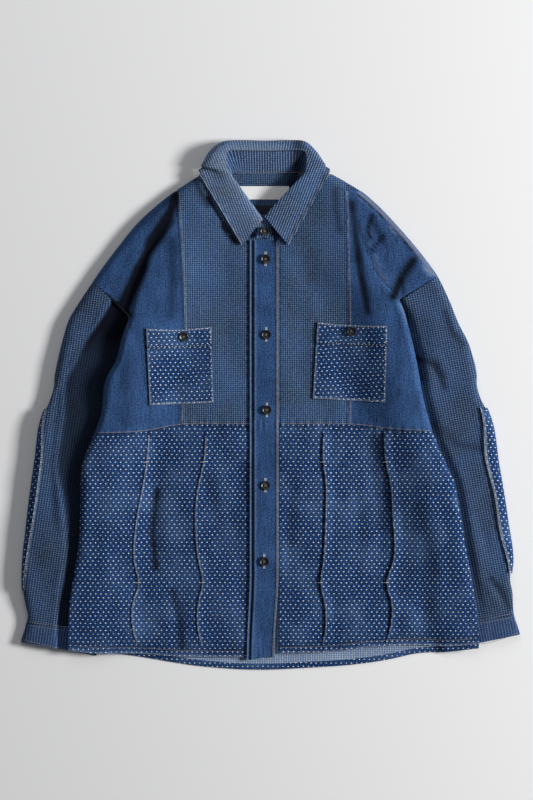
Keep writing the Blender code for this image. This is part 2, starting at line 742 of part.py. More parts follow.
def add_collar_fall():
    """The fall of the collar: two leaves on the fronts, joined by the roll behind the neck."""
    outer, inner = [], []
    for roll, edge, under, height in COLLAR:
        roll, edge = np.array(roll, float), np.array(edge, float)
        length = float(np.linalg.norm(edge - roll))
        unit = (edge - roll) / length
        down = np.array((0.0, 0.0, -DOUBLED))
        inwards = np.array((*(-unit * DOUBLED), 0.0))
        if under == 0:
            row = leaf_on_front(roll, unit, length, height)
            depths = [down] * 7
        else:
            row = [(*roll, height)]
            row.append((*(roll + unit * length * 0.5), height + 0.6))
            row.append((*(edge - unit * 5.0), height - 1.6))
            if under == DROP:
                row += [(*edge, height * level) for level in (0.75, 0.5, 0.28, 0.07)]
                depths = [down, down, down, inwards, inwards, inwards, inwards]
            else:
                row.append((*edge, height * 0.45))
                row += [(*(edge - unit * back), 0.0) for back in (5.0, (5.0 + under) * 0.55, under)]
                depths = [down, down, down, inwards, -down, -down, -down]
        outer.append(row)
        inner.append([np.array(point) + depth for point, depth in zip(row, depths)])
    add_shell("collar_fall", np.array(outer, float), np.array(inner, float), "check")


# Stand stations: the point on the neck seam, the point under the roll, and the height of the roll there
STAND = (
    ((-4, 250), (-7, 273), 16.8),
    ((-30, 262), (-27, 292), 17.6),
    ((-47, 284), (-41, 311), 18.5),
    ((-60, 306), (-54, 330), 20.0),
    ((-66, 328), (-62, 345), 21.5),
    ((-63, 343), (-65.5, 357), 22.0),
    ((-58, 347.3), (-62.5, 370), 22.5),
    ((-50, 347.3), (-60, 379.4), 23.0),
    ((-38, 347.3), (-40, 379.8), 23.0),
    ((-7, 347.3), (-7, 379.2), 23.0),
    ((26, 347.3), (26, 379.8), 23.0),
    ((40, 347.3), (46, 379.4), 23.0),
    ((47, 347.3), (49.8, 371), 22.5),
    ((52, 343), (53.5, 358), 22.0),
    ((55, 330), (51, 346), 21.5),
    ((50, 309), (41, 329), 20.5),
    ((36, 286), (26, 311), 19.5),
    ((16, 262), (10, 293), 18.5),
    ((-22, 250), (-20, 272), 17.5),
)
# Heights of the stand's ends, the left one under the right one
UNDER_END_HEAD = 9.5
OVER_END_HEAD = 12.4


def add_collar_stand():
    """The stand between neck seam and fall, its left end under its right end at the front."""
    grid = []
    for index, (seam, roll, height) in enumerate(STAND):
        seam, roll = np.array(seam, float), np.array(roll, float)
        behind = seam[1] > COLLAR_SEAM_Y
        seat = 5.4 if behind else front_height(*seam) + LAY + 0.2
        head = height - (1.0 if behind else 5.6)
        if index == 0:
            head, seat = UNDER_END_HEAD, seat - 0.2
        if index == len(STAND) - 1:
            head, seat = OVER_END_HEAD, seat + CLOTH + LAY
        row = []
        for share in (0.0, 0.33, 0.67, 1.0):
            row.append((*(seam + (roll - seam) * share), seat + (head - seat) * share))
        grid.append(row)
    add_wall("collar_stand", grid, CLOTH, "check", inward=1.0)


def add_label(name, low, high):
    """A bare woven label, flat on the inside of the back."""
    grid = []
    for y in np.linspace(high[1], low[1], 3):
        row = []
        for x in np.linspace(low[0], high[0], 5):
            half, outward = half_at(x)
            row.append((x, y, float(half.back_top(outward, y)) + SEAM_GAP + LABEL_THICKNESS))
        grid.append(row)
    add_wall(name, grid, LABEL_THICKNESS, name.split("_")[0])


def main():
    for old in list(bpy.data.objects):
        bpy.data.objects.remove(old, do_unlink=True)
    add_back()
    for half in HALVES:
        add_sleeve(half)
        add_cuff(half)
        add_elbow_patch(half)
        add_outer_front(half)
        add_inner_front(half)
        add_front_skirt(half)
        add_pocket(half)
        x, y = half.pocket_button
        add_button(f"pocket_button_{half.name}", half.sign * x, y, front_height, LAY + CLOTH + 0.7)
    add_placket(front_height)
    for index, (x, y) in enumerate(FRONT_BUTTONS, start=1):
        add_button(f"front_button_{index}", x, y, front_height, LAY + DOUBLED + 0.4)
    add_button("stand_button", *STAND_BUTTON, lambda x, y: STAND_BUTTON_SEAT, 0.3)
    add_collar_stand()
    add_collar_fall()
    add_label("neck_label", (-48, 309), (28, 329))
    add_label("size_label", (-24, 288), (7, 300))


main()
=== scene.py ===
"""Looks of the patched boro jacket, laid flat on a pale surface and seen from straight above.

Every piece of cloth is built again here, finer, on the same outlines and heights as its solid, with the
creases, puckers, weave and thread that the photograph shows. Sizes are in millimetres until a mesh is made;
+X is the viewer's right, +Y runs to the collar and +Z up. The only body is the root.
"""

import logging
import math
from dataclasses import dataclass
from enum import Enum
from typing import Callable

import bmesh
import bpy
import numpy as np
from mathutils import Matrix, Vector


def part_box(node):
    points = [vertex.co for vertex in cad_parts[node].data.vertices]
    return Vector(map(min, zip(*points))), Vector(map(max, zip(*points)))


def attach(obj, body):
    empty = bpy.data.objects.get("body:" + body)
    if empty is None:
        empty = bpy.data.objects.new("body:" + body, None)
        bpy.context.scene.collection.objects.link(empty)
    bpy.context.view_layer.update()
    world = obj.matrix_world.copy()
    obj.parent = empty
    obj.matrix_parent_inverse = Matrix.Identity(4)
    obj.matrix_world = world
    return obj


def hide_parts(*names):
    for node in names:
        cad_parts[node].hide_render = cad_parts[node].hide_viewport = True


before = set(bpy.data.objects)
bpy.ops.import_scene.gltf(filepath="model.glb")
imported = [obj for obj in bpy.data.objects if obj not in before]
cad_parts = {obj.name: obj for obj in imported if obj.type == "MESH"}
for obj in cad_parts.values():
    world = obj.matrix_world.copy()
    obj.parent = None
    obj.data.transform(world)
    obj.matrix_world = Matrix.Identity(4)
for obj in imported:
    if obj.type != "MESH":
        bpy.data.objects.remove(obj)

logging.basicConfig(level=logging.INFO, format="%(message)s")
LOG = logging.getLogger("jacket")

Array = np.ndarray
Guide = Callable[[Array], Array]
Values = Array | float

MM = 0.001

# Cloth, and how close its layers lie
CLOTH = 1.5
DOUBLED = 2.0
SEAM_GAP = 0.3
LAY = 0.6
TUCK_CLEAR = 1.0
FLOOR_CLEAR = 0.05

# Thickness of each cut of cloth where it is made as a wall
FRONT_WALL = 1.1
BACK_WALL = 1.3
SLEEVE_WALL = 1.2
COLLAR_WALL = 1.6
POCKET_WALL = 1.0
PLACKET_WALL = 1.6
LABEL_WALL = 0.5

# Heights of the laid jacket above the surface
EDGE_HEIGHT = 4.6
TUCKED_HEIGHT = 9.5
TUCKED_RISE = 45.0
SLEEVE_PUFF = 5.5
SHOULDER_HEIGHT = 15.0
MIDDLE_HEIGHT = 7.0
FOLD_RADIUS = 14.0
RIDGE_RADIUS = 11.0
SWELL_FROM = 120.0
SWELL_TO = 24.0
BACK_RAMP = 25.0

# Tucks of the skirt: a steep step on the viewer's left of the crest and a long slope on its right
TUCK_STEP = 3.0
TUCK_CREST = 0.5
TUCK_SLOPE = 14.0

# Collar, buttons and labels
BUTTON_RADIUS = 7.0
BUTTON_HEIGHT = 2.6
BUTTON_FACETS = 40
# A button's section, by shares of its radius and height from the underside over the rim into the dish
BUTTON_PROFILE = (
    (0.72, 0.0), (0.93, 0.12), (1.0, 0.35), (1.0, 0.78), (0.96, 0.95), (0.88, 1.0), (0.78, 0.92), (0.7, 0.7),
    (0.55, 0.62),
)
BUTTON_DISH = 0.6
FRONT_BUTTONS = ((-7.5, 219.0), (-6.5, 105.5), (-5.7, -7.7), (-7.7, -120.7), (-9.5, -235.0))
STAND_BUTTON = (-8.8, 260.5)
COLLAR_SEAM_Y = 347.0
LABEL_THICKNESS = 0.6

# Placket, from its free edge to the edge that is sewn to the front
PLACKET_FREE_X = -31.0
PLACKET_SEWN_X = 12.0
PLACKET_TOP_Y = 247.5
PLACKET_FOOT_Y = -383.5
UNDERLAP_X = 5.0


class Along(Enum):
    """The axis of the plan that a line runs along; the value is its place in a point."""

    X = 0
    Y = 1


class Side(Enum):
    """A side of the jacket as the viewer sees it; the value is its sign in x."""

    LEFT = -1
    RIGHT = 1


def smooth(x: Values, start: float, end: float) -> Array:
    """A step with no corner at either end.

    Args:
        x: Where the step is taken.
        start: Where it is 0.
        end: Where it is 1, above or below start.

    Returns:
        The step's height, from 0 to 1.
    """
    t = np.clip((np.asarray(x, float) - start) / (end - start), 0.0, 1.0)
    return t * t * (3.0 - 2.0 * t)


def rounded(x: Values, radius: float) -> Array:
    """Returns: the height, from 0 to 1, of a quarter circle that starts at x = 0 and ends at its radius."""
    t = np.clip(np.asarray(x, float) / radius, 0.0, 1.0)
    return np.sqrt(1.0 - (1.0 - t) ** 2)


class Line:
    """A smooth line through a few points, giving its other coordinate from the one it runs along."""

    def __init__(self, *points: tuple[float, float], along: Along = Along.Y) -> None:
        """Orders the points and finds the line's slope at each of them.

        Args:
            points: Places on the plan, in any order.
            along: The axis that the line runs along.
        """
        self.along = along
        axis = along.value
        ordered = sorted(points, key=lambda point: point[axis])
        self.at = np.array([point[axis] for point in ordered], float)
        self.value = np.array([point[1 - axis] for point in ordered], float)
        step = np.diff(self.at)
        slope = np.diff(self.value) / step
        inner = (slope[:-1] * step[1:] + slope[1:] * step[:-1]) / (step[1:] + step[:-1])
        self.slope = np.concatenate([slope[:1], inner, slope[-1:]])

    def __call__(self, at: Values) -> Array:
        """Returns: the line's other coordinate at each place, held past its ends."""
        at = np.clip(np.asarray(at, float), self.at[0], self.at[-1])
        i = np.clip(np.searchsorted(self.at, at) - 1, 0, len(self.at) - 2)
        step = self.at[i + 1] - self.at[i]
        t = (at - self.at[i]) / step
        return (
            self.value[i] * (1 + 2 * t) * (1 - t) ** 2
            + self.value[i + 1] * t * t * (3 - 2 * t)
            + step * t * (1 - t) * (self.slope[i] * (1 - t) - self.slope[i + 1] * t)
        )

    def lean(self, at: Values) -> Array:
        """Returns: how far the line moves sideways for each millimetre along."""
        return (self(np.asarray(at) + 1.0) - self(np.asarray(at) - 1.0)) / 2.0


@dataclass
class Half:
    """One half of the jacket: its plan lines, by the distance outward from x = 0.

    tuck_shade is the strength and width of the painted shadow beside a tuck, which starts at tuck_shade_top.
    pocket holds its corners, pocket_sag how far its top edge hangs, pocket_tilt the turn of its weave in
    degrees and pocket_hem the hem's share of its height. areas are those of the flat cuts, in square metres.
    """

    side: Side
    outline: Line
    body_edge: Line
    tucked_edge: Line
    tip: tuple
    pit: tuple
    seam: Line
    neck: Line
    centre_x: float
    waist: Line
    front_hem: Line
    tucks: tuple
    tuck_height: float
    tuck_shade: tuple[float, float]
    tuck_shade_top: tuple[float, float]
    valleys: tuple
    cuff_y: tuple
    cuff_foot: tuple
    pocket: tuple
    pocket_button: tuple
    pocket_sag: float
    pocket_tilt: float
    pocket_hem: float
    patch_width: Line
    patch_y: tuple
    areas: dict[str, float]

    @property
    def sign(self) -> int:
        """Returns: the sign of x on this side."""
        return self.side.value

    @property
    def name(self) -> str:
        """Returns: the side's name in the nodes."""
        return self.side.name.lower()

    def points(self, x: Array, y: Array, z: Array) -> Array:
        """Returns: points in space, from distances outward, places along and heights."""
        return np.stack([self.sign * x, y, z], -1)

    def outline_gap(self, x: Array, y: Array) -> Array:
        """Returns: how far a point lies inside the silhouette of shoulder and sleeve."""
        return (self.outline(y) - x) / np.sqrt(1.0 + self.outline.lean(y) ** 2)

    def armhole(self, y: Array) -> Array:
        """Returns: the armhole seam on the plan, from the shoulder tip to where the body covers it."""
        share = (self.tip[1] - y) / (self.tip[1] - self.pit[1])
        return self.tip[0] + (self.pit[0] - self.tip[0]) * share

    def limit(self, y: Array) -> Array:
        """Returns: the outer edge of the body's cloth on the plan: shoulder fold, armhole seam, then side."""
        below_tip = np.where(y > self.pit[1], self.armhole(y), self.body_edge(y))
        return np.where(y > self.tip[1], self.outline(y), below_tip)

    def tucked_top(self, x: Array, y: Array, early: float = 0.0) -> Array:
        """The top of the sleeve where the body lies on it.

        Args:
            x: Distances outward from the middle.
            y: Places along the jacket.
            early: How much lower its rise to the armhole starts.

        Returns:
            The heights.
        """
        near_pit = smooth(y + early, self.pit[1] - 40.0, self.pit[1])
        rise = smooth(x - self.tucked_edge(y), 0.0, TUCKED_RISE)
        hidden = EDGE_HEIGHT + (TUCKED_HEIGHT - EDGE_HEIGHT) * rise
        return hidden + (TUCKED_HEIGHT - hidden) * near_pit

    def sleeve_top(self, x: Array, y: Array) -> Array:
        """Returns: the top of the sleeve and cuff, tucked part and puffed part."""
        near_pit = smooth(y, self.pit[1] - 40.0, self.pit[1])
        beside = smooth(x - self.body_edge(y), 1.0, 15.0)
        beside = beside + (1.0 - beside) * near_pit
        narrow = 0.25 + 0.75 * smooth(y, self.cuff_y[0], self.cuff_y[0] + 70.0)
        full = self.tucked_top(x, y) + SLEEVE_PUFF * beside * narrow
        return EDGE_HEIGHT + (full - EDGE_HEIGHT) * rounded(self.outline_gap(x, y), FOLD_RADIUS)

    def back_top(self, x: Array, y: Array) -> Array:
        """Returns: the inner face of the back, flat, and lifted where a sleeve lies under it."""
        from_edge = x - np.minimum(self.tucked_edge(y), self.body_edge(y) - BACK_RAMP)
        lift = smooth(from_edge, -BACK_RAMP, -5.0) * smooth(y, self.pit[1] + 22.0, self.pit[1] + 3.0)
        neck = 3.5 * smooth(y, 327.0, 345.0) * smooth(x, 100.0, 70.0)
        return CLOTH + lift * (self.tucked_top(x, y, early=14.0) + TUCK_CLEAR) + neck

    def relief(self, x: Array, y: Array) -> Array:
        """Returns: the tucks and the soft valleys of the skirt."""
        total = 0.0
        for tuck in self.tucks:
            side = self.sign * (x - tuck(y))
            ridge = smooth(side, -TUCK_STEP, TUCK_CREST) * (1.0 - smooth(side, TUCK_CREST, TUCK_SLOPE))
            ends = smooth(y, -372.0, -330.0) * smooth(y, -28.0, -60.0)
            total = total + self.tuck_height * ridge * ends
        for at_x, at_y, wide, long, deep in self.valleys:
            total = total - deep * np.exp(-(((x - at_x) / wide) ** 2) - ((y - at_y) / long) ** 2)
        return total

    def front_top(self, x: Array, y: Array) -> Array:
        """Returns: the outer face of the front, low in the middle and swelling towards the side fold."""
        inside = self.body_edge(y) - x
        ridge = RIDGE_HEIGHT(y)
        full = MIDDLE_HEIGHT + (ridge - MIDDLE_HEIGHT) * smooth(inside, SWELL_FROM, SWELL_TO)
        full = full + self.relief(x, y)
        shoulder = rounded(self.outline_gap(x, y), FOLD_RADIUS)
        full = EDGE_HEIGHT + (full - EDGE_HEIGHT) * shoulder
        arm = EDGE_HEIGHT + (SHOULDER_HEIGHT - EDGE_HEIGHT) * shoulder
        seated = self.back_top(x, y) + LAY + CLOTH + SEAM_GAP
        low = seated + (arm - seated) * smooth(y, self.pit[1] - 40.0, self.pit[1] - 5.0)
        top = low + (full - low) * rounded(inside, RIDGE_RADIUS)
        at_hem = 0.3 + 0.7 * smooth(y - self.front_hem(x), 0.0, 28.0)
        return seated + (top - seated) * at_hem


RIDGE_HEIGHT = Line(
    (16, 300), (17, 230), (21, 170), (24, 120), (24, -40), (22, -120), (18, -250), (14, -340),
)

LEFT = Half(
    side=Side.LEFT,
    outline=Line(
        (103, 347), (138, 325), (190, 283), (234, 231), (264, 190), (286, 157), (302, 131), (314, 93),
        (337, 1.5), (343, -12), (355, -82), (369, -190), (374, -241), (373, -290), (367, -322), (375.5, -356),
    ),
    body_edge=Line(
        (144, 313), (140, 291), (169, 244), (184, 225), (191, 198), (203, 168), (211, 135), (224, 97),
        (233, 64), (244, 45), (256, -21), (264, -42), (283, -94), (285, -142), (288, -210), (295, -255),
        (301, -294), (303, -335), (303, -369),
    ),
    tucked_edge=Line(
        (212, 135), (225, 97), (217, 70), (200, 20), (192, -30), (200, -82), (221, -142), (247, -255),
        (258, -334), (262, -380),
    ),
    tip=(267, 186),
    pit=(211, 135),
    seam=Line((139.5, 327), (130, 157), (129, 118), (134, 0), (136, -45)),
    neck=Line((20, 256), (42, 276), (60, 298), (78, 330), (88, 347)),
    centre_x=-UNDERLAP_X,
    waist=Line((-12, -29.5), (31, -29.5), (158, -34), (174, -37.5), (195, -40.5), (265, -43), along=Along.X),
    front_hem=Line(
        (-12, -379), (44, -379), (131, -378), (208, -373.5), (259, -373.5), (303, -368), along=Along.X,
    ),
    tucks=(
        Line(
            (100.4, -368), (107, -348), (108.7, -297), (102, -267), (108.7, -232), (109.5, -126),
            (100.4, -84), (96.7, -39),
        ),
        Line(
            (197.5, -366), (206, -340), (206.7, -297), (198.5, -270), (204.5, -235), (198.7, -159),
            (193, -129), (186.7, -91), (182, -40),
        ),
    ),
    tuck_height=1.6,
    tuck_shade=(-0.55, 1.3),
    tuck_shade_top=(-42, -100),
    valleys=((172, -165, 13, 75, 3.2), (138, -315, 12, 45, 2.4), (66, -195, 14, 50, 1.8)),
    cuff_y=(-328, -336),
    cuff_foot=((375.4, -355.5), (303, -371.5), (262, -377)),
    pocket=((185.5, 114.3), (88.6, 117.9), (85.5, 3.0), (180.9, 0.0)),
    pocket_button=(130, 102.3),
    pocket_sag=3.2,
    pocket_tilt=2.0,
    pocket_hem=0.235,
    patch_width=Line((4, -4), (10, -60), (7, -240), (4, -276)),
    patch_y=(-6, -278),
    areas=dict(front_inner=0.046, skirt=0.102, sleeve=0.124, cuff=0.0076, pocket=0.0112),
)

RIGHT = Half(
    side=Side.RIGHT,
    outline=Line(
        (92, 347), (135.5, 322), (158, 303), (194, 265.5), (233, 219), (251, 194), (267.6, 160.5),
        (285, 118.5), (296, 97.5), (306, 67.5), (320, 7.5), (327, -6), (344.5, -91.5), (357.5, -172.5),
        (365.3, -236), (363, -262), (367, -285), (365, -306), (375.5, -345),
    ),
    body_edge=Line(
        (116, 300), (131, 259), (164, 189), (191, 160), (207, 117), (219, 67.5), (229, 12), (243, -40),
        (263, -88), (274, -112), (281, -145), (293, -216), (301.5, -259), (310, -319), (313, -358.5),
    ),
    tucked_edge=Line(
        (192, 157), (208.5, 115), (206, 75), (195, 20), (197, -30), (205, -82), (228, -142), (256, -255),
        (268, -334), (271, -380),
    ),
    tip=(250.5, 193.5),
    pit=(191.5, 157),
    seam=Line((113, 326), (117, 157), (117.5, 124), (117.7, 4), (116, -45)),
    neck=Line((14, 252), (22, 262), (38, 280), (52, 300), (66, 325), (76, 347)),
    centre_x=PLACKET_SEWN_X + SEAM_GAP,
    waist=Line((5, -29.5), (128, -30.6), (148, -32.5), (170, -35.5), (243, -40), along=Along.X),
    front_hem=Line(
        (5, -374), (75, -372), (173, -362.5), (220, -360.5), (269, -362), (313, -358.5), along=Along.X,
    ),
    tucks=(
        Line(
            (76, -366), (82, -340), (82, -304), (75, -266), (79, -235), (82.5, -168), (83, -117),
            (78.7, -84), (79.6, -35),
        ),
        Line(
            (174, -357), (180, -333), (182, -300), (174, -266), (184, -235), (183.3, -168), (178.6, -112),
            (173, -88), (169.6, -40),
        ),
    ),
    tuck_height=2.6,
    tuck_shade=(-1.0, 1.9),
    tuck_shade_top=(-42, -42),
    valleys=((20, -180, 12, 90, 2.2), (168, -165, 10, 60, 2.6), (232, -315, 14, 45, 3.0)),
    cuff_y=(-316, -325),
    cuff_foot=((375.4, -344.5), (331.5, -360), (271, -366)),
    pocket=((70.8, 124.0), (174.7, 118.6), (171.7, 3.9), (63.8, 9.9)),
    pocket_button=(121.2, 110.2),
    pocket_sag=1.6,
    pocket_tilt=3.0,
    pocket_hem=0.255,
    patch_width=Line((10, -2), (19, -75), (15, -130), (12, -216), (4, -250)),
    patch_y=(-4, -252),
    areas=dict(front_inner=0.035, skirt=0.093, sleeve=0.111, cuff=0.0071, pocket=0.0122),
)


BACK_HEM = Line(
    (-303, -367), (-208, -376.5), (-104, -392.5), (-19.5, -398), (57, -395), (130, -389.7), (179, -382.5),
    (220, -373.5), (269, -370.5), (313, -365.0), along=Along.X,
)


# Collar stations: the point on the inner roll, the point on the outer edge, how far the leaf turns back
# under from there, and the height of the roll. ON_FRONT lies on the front, and DROP hangs to the surface.
ON_FRONT = 0
DROP = -1
COLLAR = (
    ((-11, 278.5), (-43, 240), ON_FRONT, 16.8),
    ((-24, 297), (-59, 267), ON_FRONT, 17.6),
    ((-37, 315), (-75, 294), ON_FRONT, 18.5),
    ((-50, 333), (-92, 322), ON_FRONT, 20.0),
    ((-61, 349), (-107.5, 349), ON_FRONT, 21.5),
    ((-63.5, 356), (-103, 357), DROP, 21.8),
    ((-65, 362), (-101.5, 364), 10, 22.0),
    ((-66.5, 374), (-90, 383), 22, 22.5),
    ((-62, 380.5), (-71, 395.5), 36, 23.0),
    ((-40, 380.8), (-40, 397.6), 46, 23.0),
    ((-7, 380.2), (-7, 396.6), 46, 23.0),
    ((26, 380.8), (26, 397.6), 46, 23.0),
    ((48, 380.5), (51, 396), 36, 23.0),
    ((53.5, 374), (67.5, 382.5), 20, 22.5),
    ((54, 363), (79, 366), 9, 22.0),
    ((53, 357), (82, 359), DROP, 21.8),
    ((52, 350), (89, 350), ON_FRONT, 21.5),
    ((37, 333), (74, 322), ON_FRONT, 20.5),
    ((21, 316), (58, 294), ON_FRONT, 19.5),
    ((5, 299), (43, 267), ON_FRONT, 18.5),
    ((-9, 282), (27, 240), ON_FRONT, 17.5),
)


# Stand stations: the point on the neck seam, the point under the roll, and the height of the roll there
STAND = (
    ((-4, 250), (-7, 273), 16.8),
    ((-30, 262), (-27, 292), 17.6),
    ((-47, 284), (-41, 311), 18.5),
    ((-60, 306), (-54, 330), 20.0),
    ((-66, 328), (-62, 345), 21.5),
    ((-63, 343), (-67.5, 357), 21.5),
    ((-58, 347.3), (-69, 369), 19.5),
    ((-50, 347.3), (-64, 380.5), 22.0),
    ((-38, 347.3), (-40, 379.8), 23.0),
    ((-7, 347.3), (-7, 379.2), 23.0),
    ((26, 347.3), (26, 379.8), 23.0),
    ((40, 347.3), (50, 380.5), 22.0),
    ((47, 347.3), (56, 371), 19.5),
    ((52, 343), (56, 358), 21.5),
    ((55, 330), (51, 346), 21.5),
    ((50, 309), (41, 329), 20.5),
    ((36, 286), (26, 311), 19.5),
    ((16, 262), (10, 293), 18.5),
    ((-22, 250), (-20, 272), 17.5),
)
# Heights of the stand's ends, the left one under the right one
UNDER_END_HEAD = 9.5
OVER_END_HEAD = 12.4


# Finishes: the pale of rubbed cloth, which is also painted as highlight, and the dark painted as shade where
# the cloth lies in its own shadow

RUBBED_AND_HIGHLIGHT = "#a9b9cd"
SHADED = "#050a17"


def linear(colour: str) -> tuple[float, float, float, float]:
    """Converts a screen colour such as #2a5290 to the linear values that a shader takes.

    Args:
        colour: The colour as # and six hexadecimal digits.

    Returns:
        Red, green, blue and an alpha of 1.
    """
    channels = [int(colour[i : i + 2], 16) / 255 for i in (1, 3, 5)]
    made = [c / 12.92 if c <= 0.04045 else ((c + 0.055) / 1.055) ** 2.4 for c in channels]
    return (made[0], made[1], made[2], 1.0)


Source = bpy.types.NodeSocket | bpy.types.Node


class NodeTree:
    """The node tree of one Principled material, filled node by node."""

    def __init__(self, name: str) -> None:
        """Makes a material of a name, with its Principled shader."""
        self.material = bpy.data.materials.new(name)
        self.material.use_nodes = True
        self.tree = self.material.node_tree
        self.shader = self.tree.nodes["Principled BSDF"]

    def add(self, kind: str, inputs: dict | None = None, **settings) -> bpy.types.Node:
        """Adds a shader node, with its settings, its values and its links.

        Args:
            kind: The node's type without its ShaderNode prefix.
            inputs: A value, a socket or a node for each input, by name or position.
            settings: Values for the node's own properties.

        Returns:
            The new node.
        """
        node = self.tree.nodes.new("ShaderNode" + kind)
        for key, value in settings.items():
            setattr(node, key, value)
        self.connect(node, inputs or {})
        return node

    def connect(self, node: bpy.types.Node, inputs: dict) -> None:
        """Sets or links the inputs of a node.

        Args:
            node: The node whose inputs are set.
            inputs: A value, a socket or a node for each input, by name or position.
        """
        for key, value in inputs.items():
            source = value.outputs[0] if isinstance(value, bpy.types.Node) else value
            if isinstance(source, bpy.types.NodeSocket):
                self.tree.links.new(source, node.inputs[key])
            else:
                node.inputs[key].default_value = source

    def weave_place(self, wander: float) -> bpy.types.Node:
        """The place on the cloth in metres, wandering a little as hand-made rows do.

        Args:
            wander: How far the place may wander, in metres.

        Returns:
            A node whose first two outputs run across and along the cloth.
        """
        uv = self.add("UVMap", uv_map="cloth")
        noise = self.add("TexNoise", {"Vector": uv, "Scale": 26.0, "Detail": 2.0})
        middle = self.add("VectorMath", {0: noise.outputs["Color"], 1: (0.5, 0.5, 0.5)}, operation="SUBTRACT")
        shift = self.add("VectorMath", {0: middle, "Scale": wander}, operation="SCALE")
        place = self.add("VectorMath", {0: uv, 1: shift}, operation="ADD")
        return self.add("SeparateXYZ", {0: place})

    def finish_cloth(self, colour: Source, height: Source, depth: float) -> bpy.types.Material:
        """Joins a cloth's colour and relief to its shader, mixing in the pale of rubbed cloth, painted
        highlights and painted shade.

        Args:
            colour: The node or socket of the colour.
            height: The node or socket of the relief, from 0 to 1.
            depth: The depth of the relief in metres.

        Returns:
            The finished material.
        """
        # A point attribute paints pale where it is positive, for rubbed cloth and painted highlights, and
        # painted shade where it is negative
        wear_and_painted_light = self.add("Attribute", attribute_name="wear_and_painted_light")
        uv = self.add("UVMap", uv_map="cloth")
        rub = self.add("TexNoise", {"Vector": uv, "Scale": 260.0, "Detail": 2.0})
        patchy = self.add("MapRange", {0: rub, 1: 0.3, 2: 0.62, 3: 0.35, 4: 1.0})
        pale = self.add("Math", {0: wear_and_painted_light.outputs["Fac"], 1: patchy}, operation="MULTIPLY", use_clamp=True)
        dark = self.add("Math", {0: wear_and_painted_light.outputs["Fac"], 1: -1.0}, operation="MULTIPLY", use_clamp=True)
        colour = self.add("Mix", {0: pale, 6: colour, 7: linear(RUBBED_AND_HIGHLIGHT)}, data_type="RGBA").outputs[2]
        colour = self.add("Mix", {0: dark, 6: colour, 7: linear(SHADED)}, data_type="RGBA").outputs[2]
        bump = self.add("Bump", {"Strength": 0.9, "Distance": depth, "Height": height})
        # Washed cotton: almost no gloss, and a trace of the sheen of its loose fibres
        self.connect(self.shader, {
            "Base Color": colour, "Roughness": 0.93, "Sheen Weight": 0.03, "Normal": bump,
            "Specular IOR Level": 0.1,
        })
        return self.material


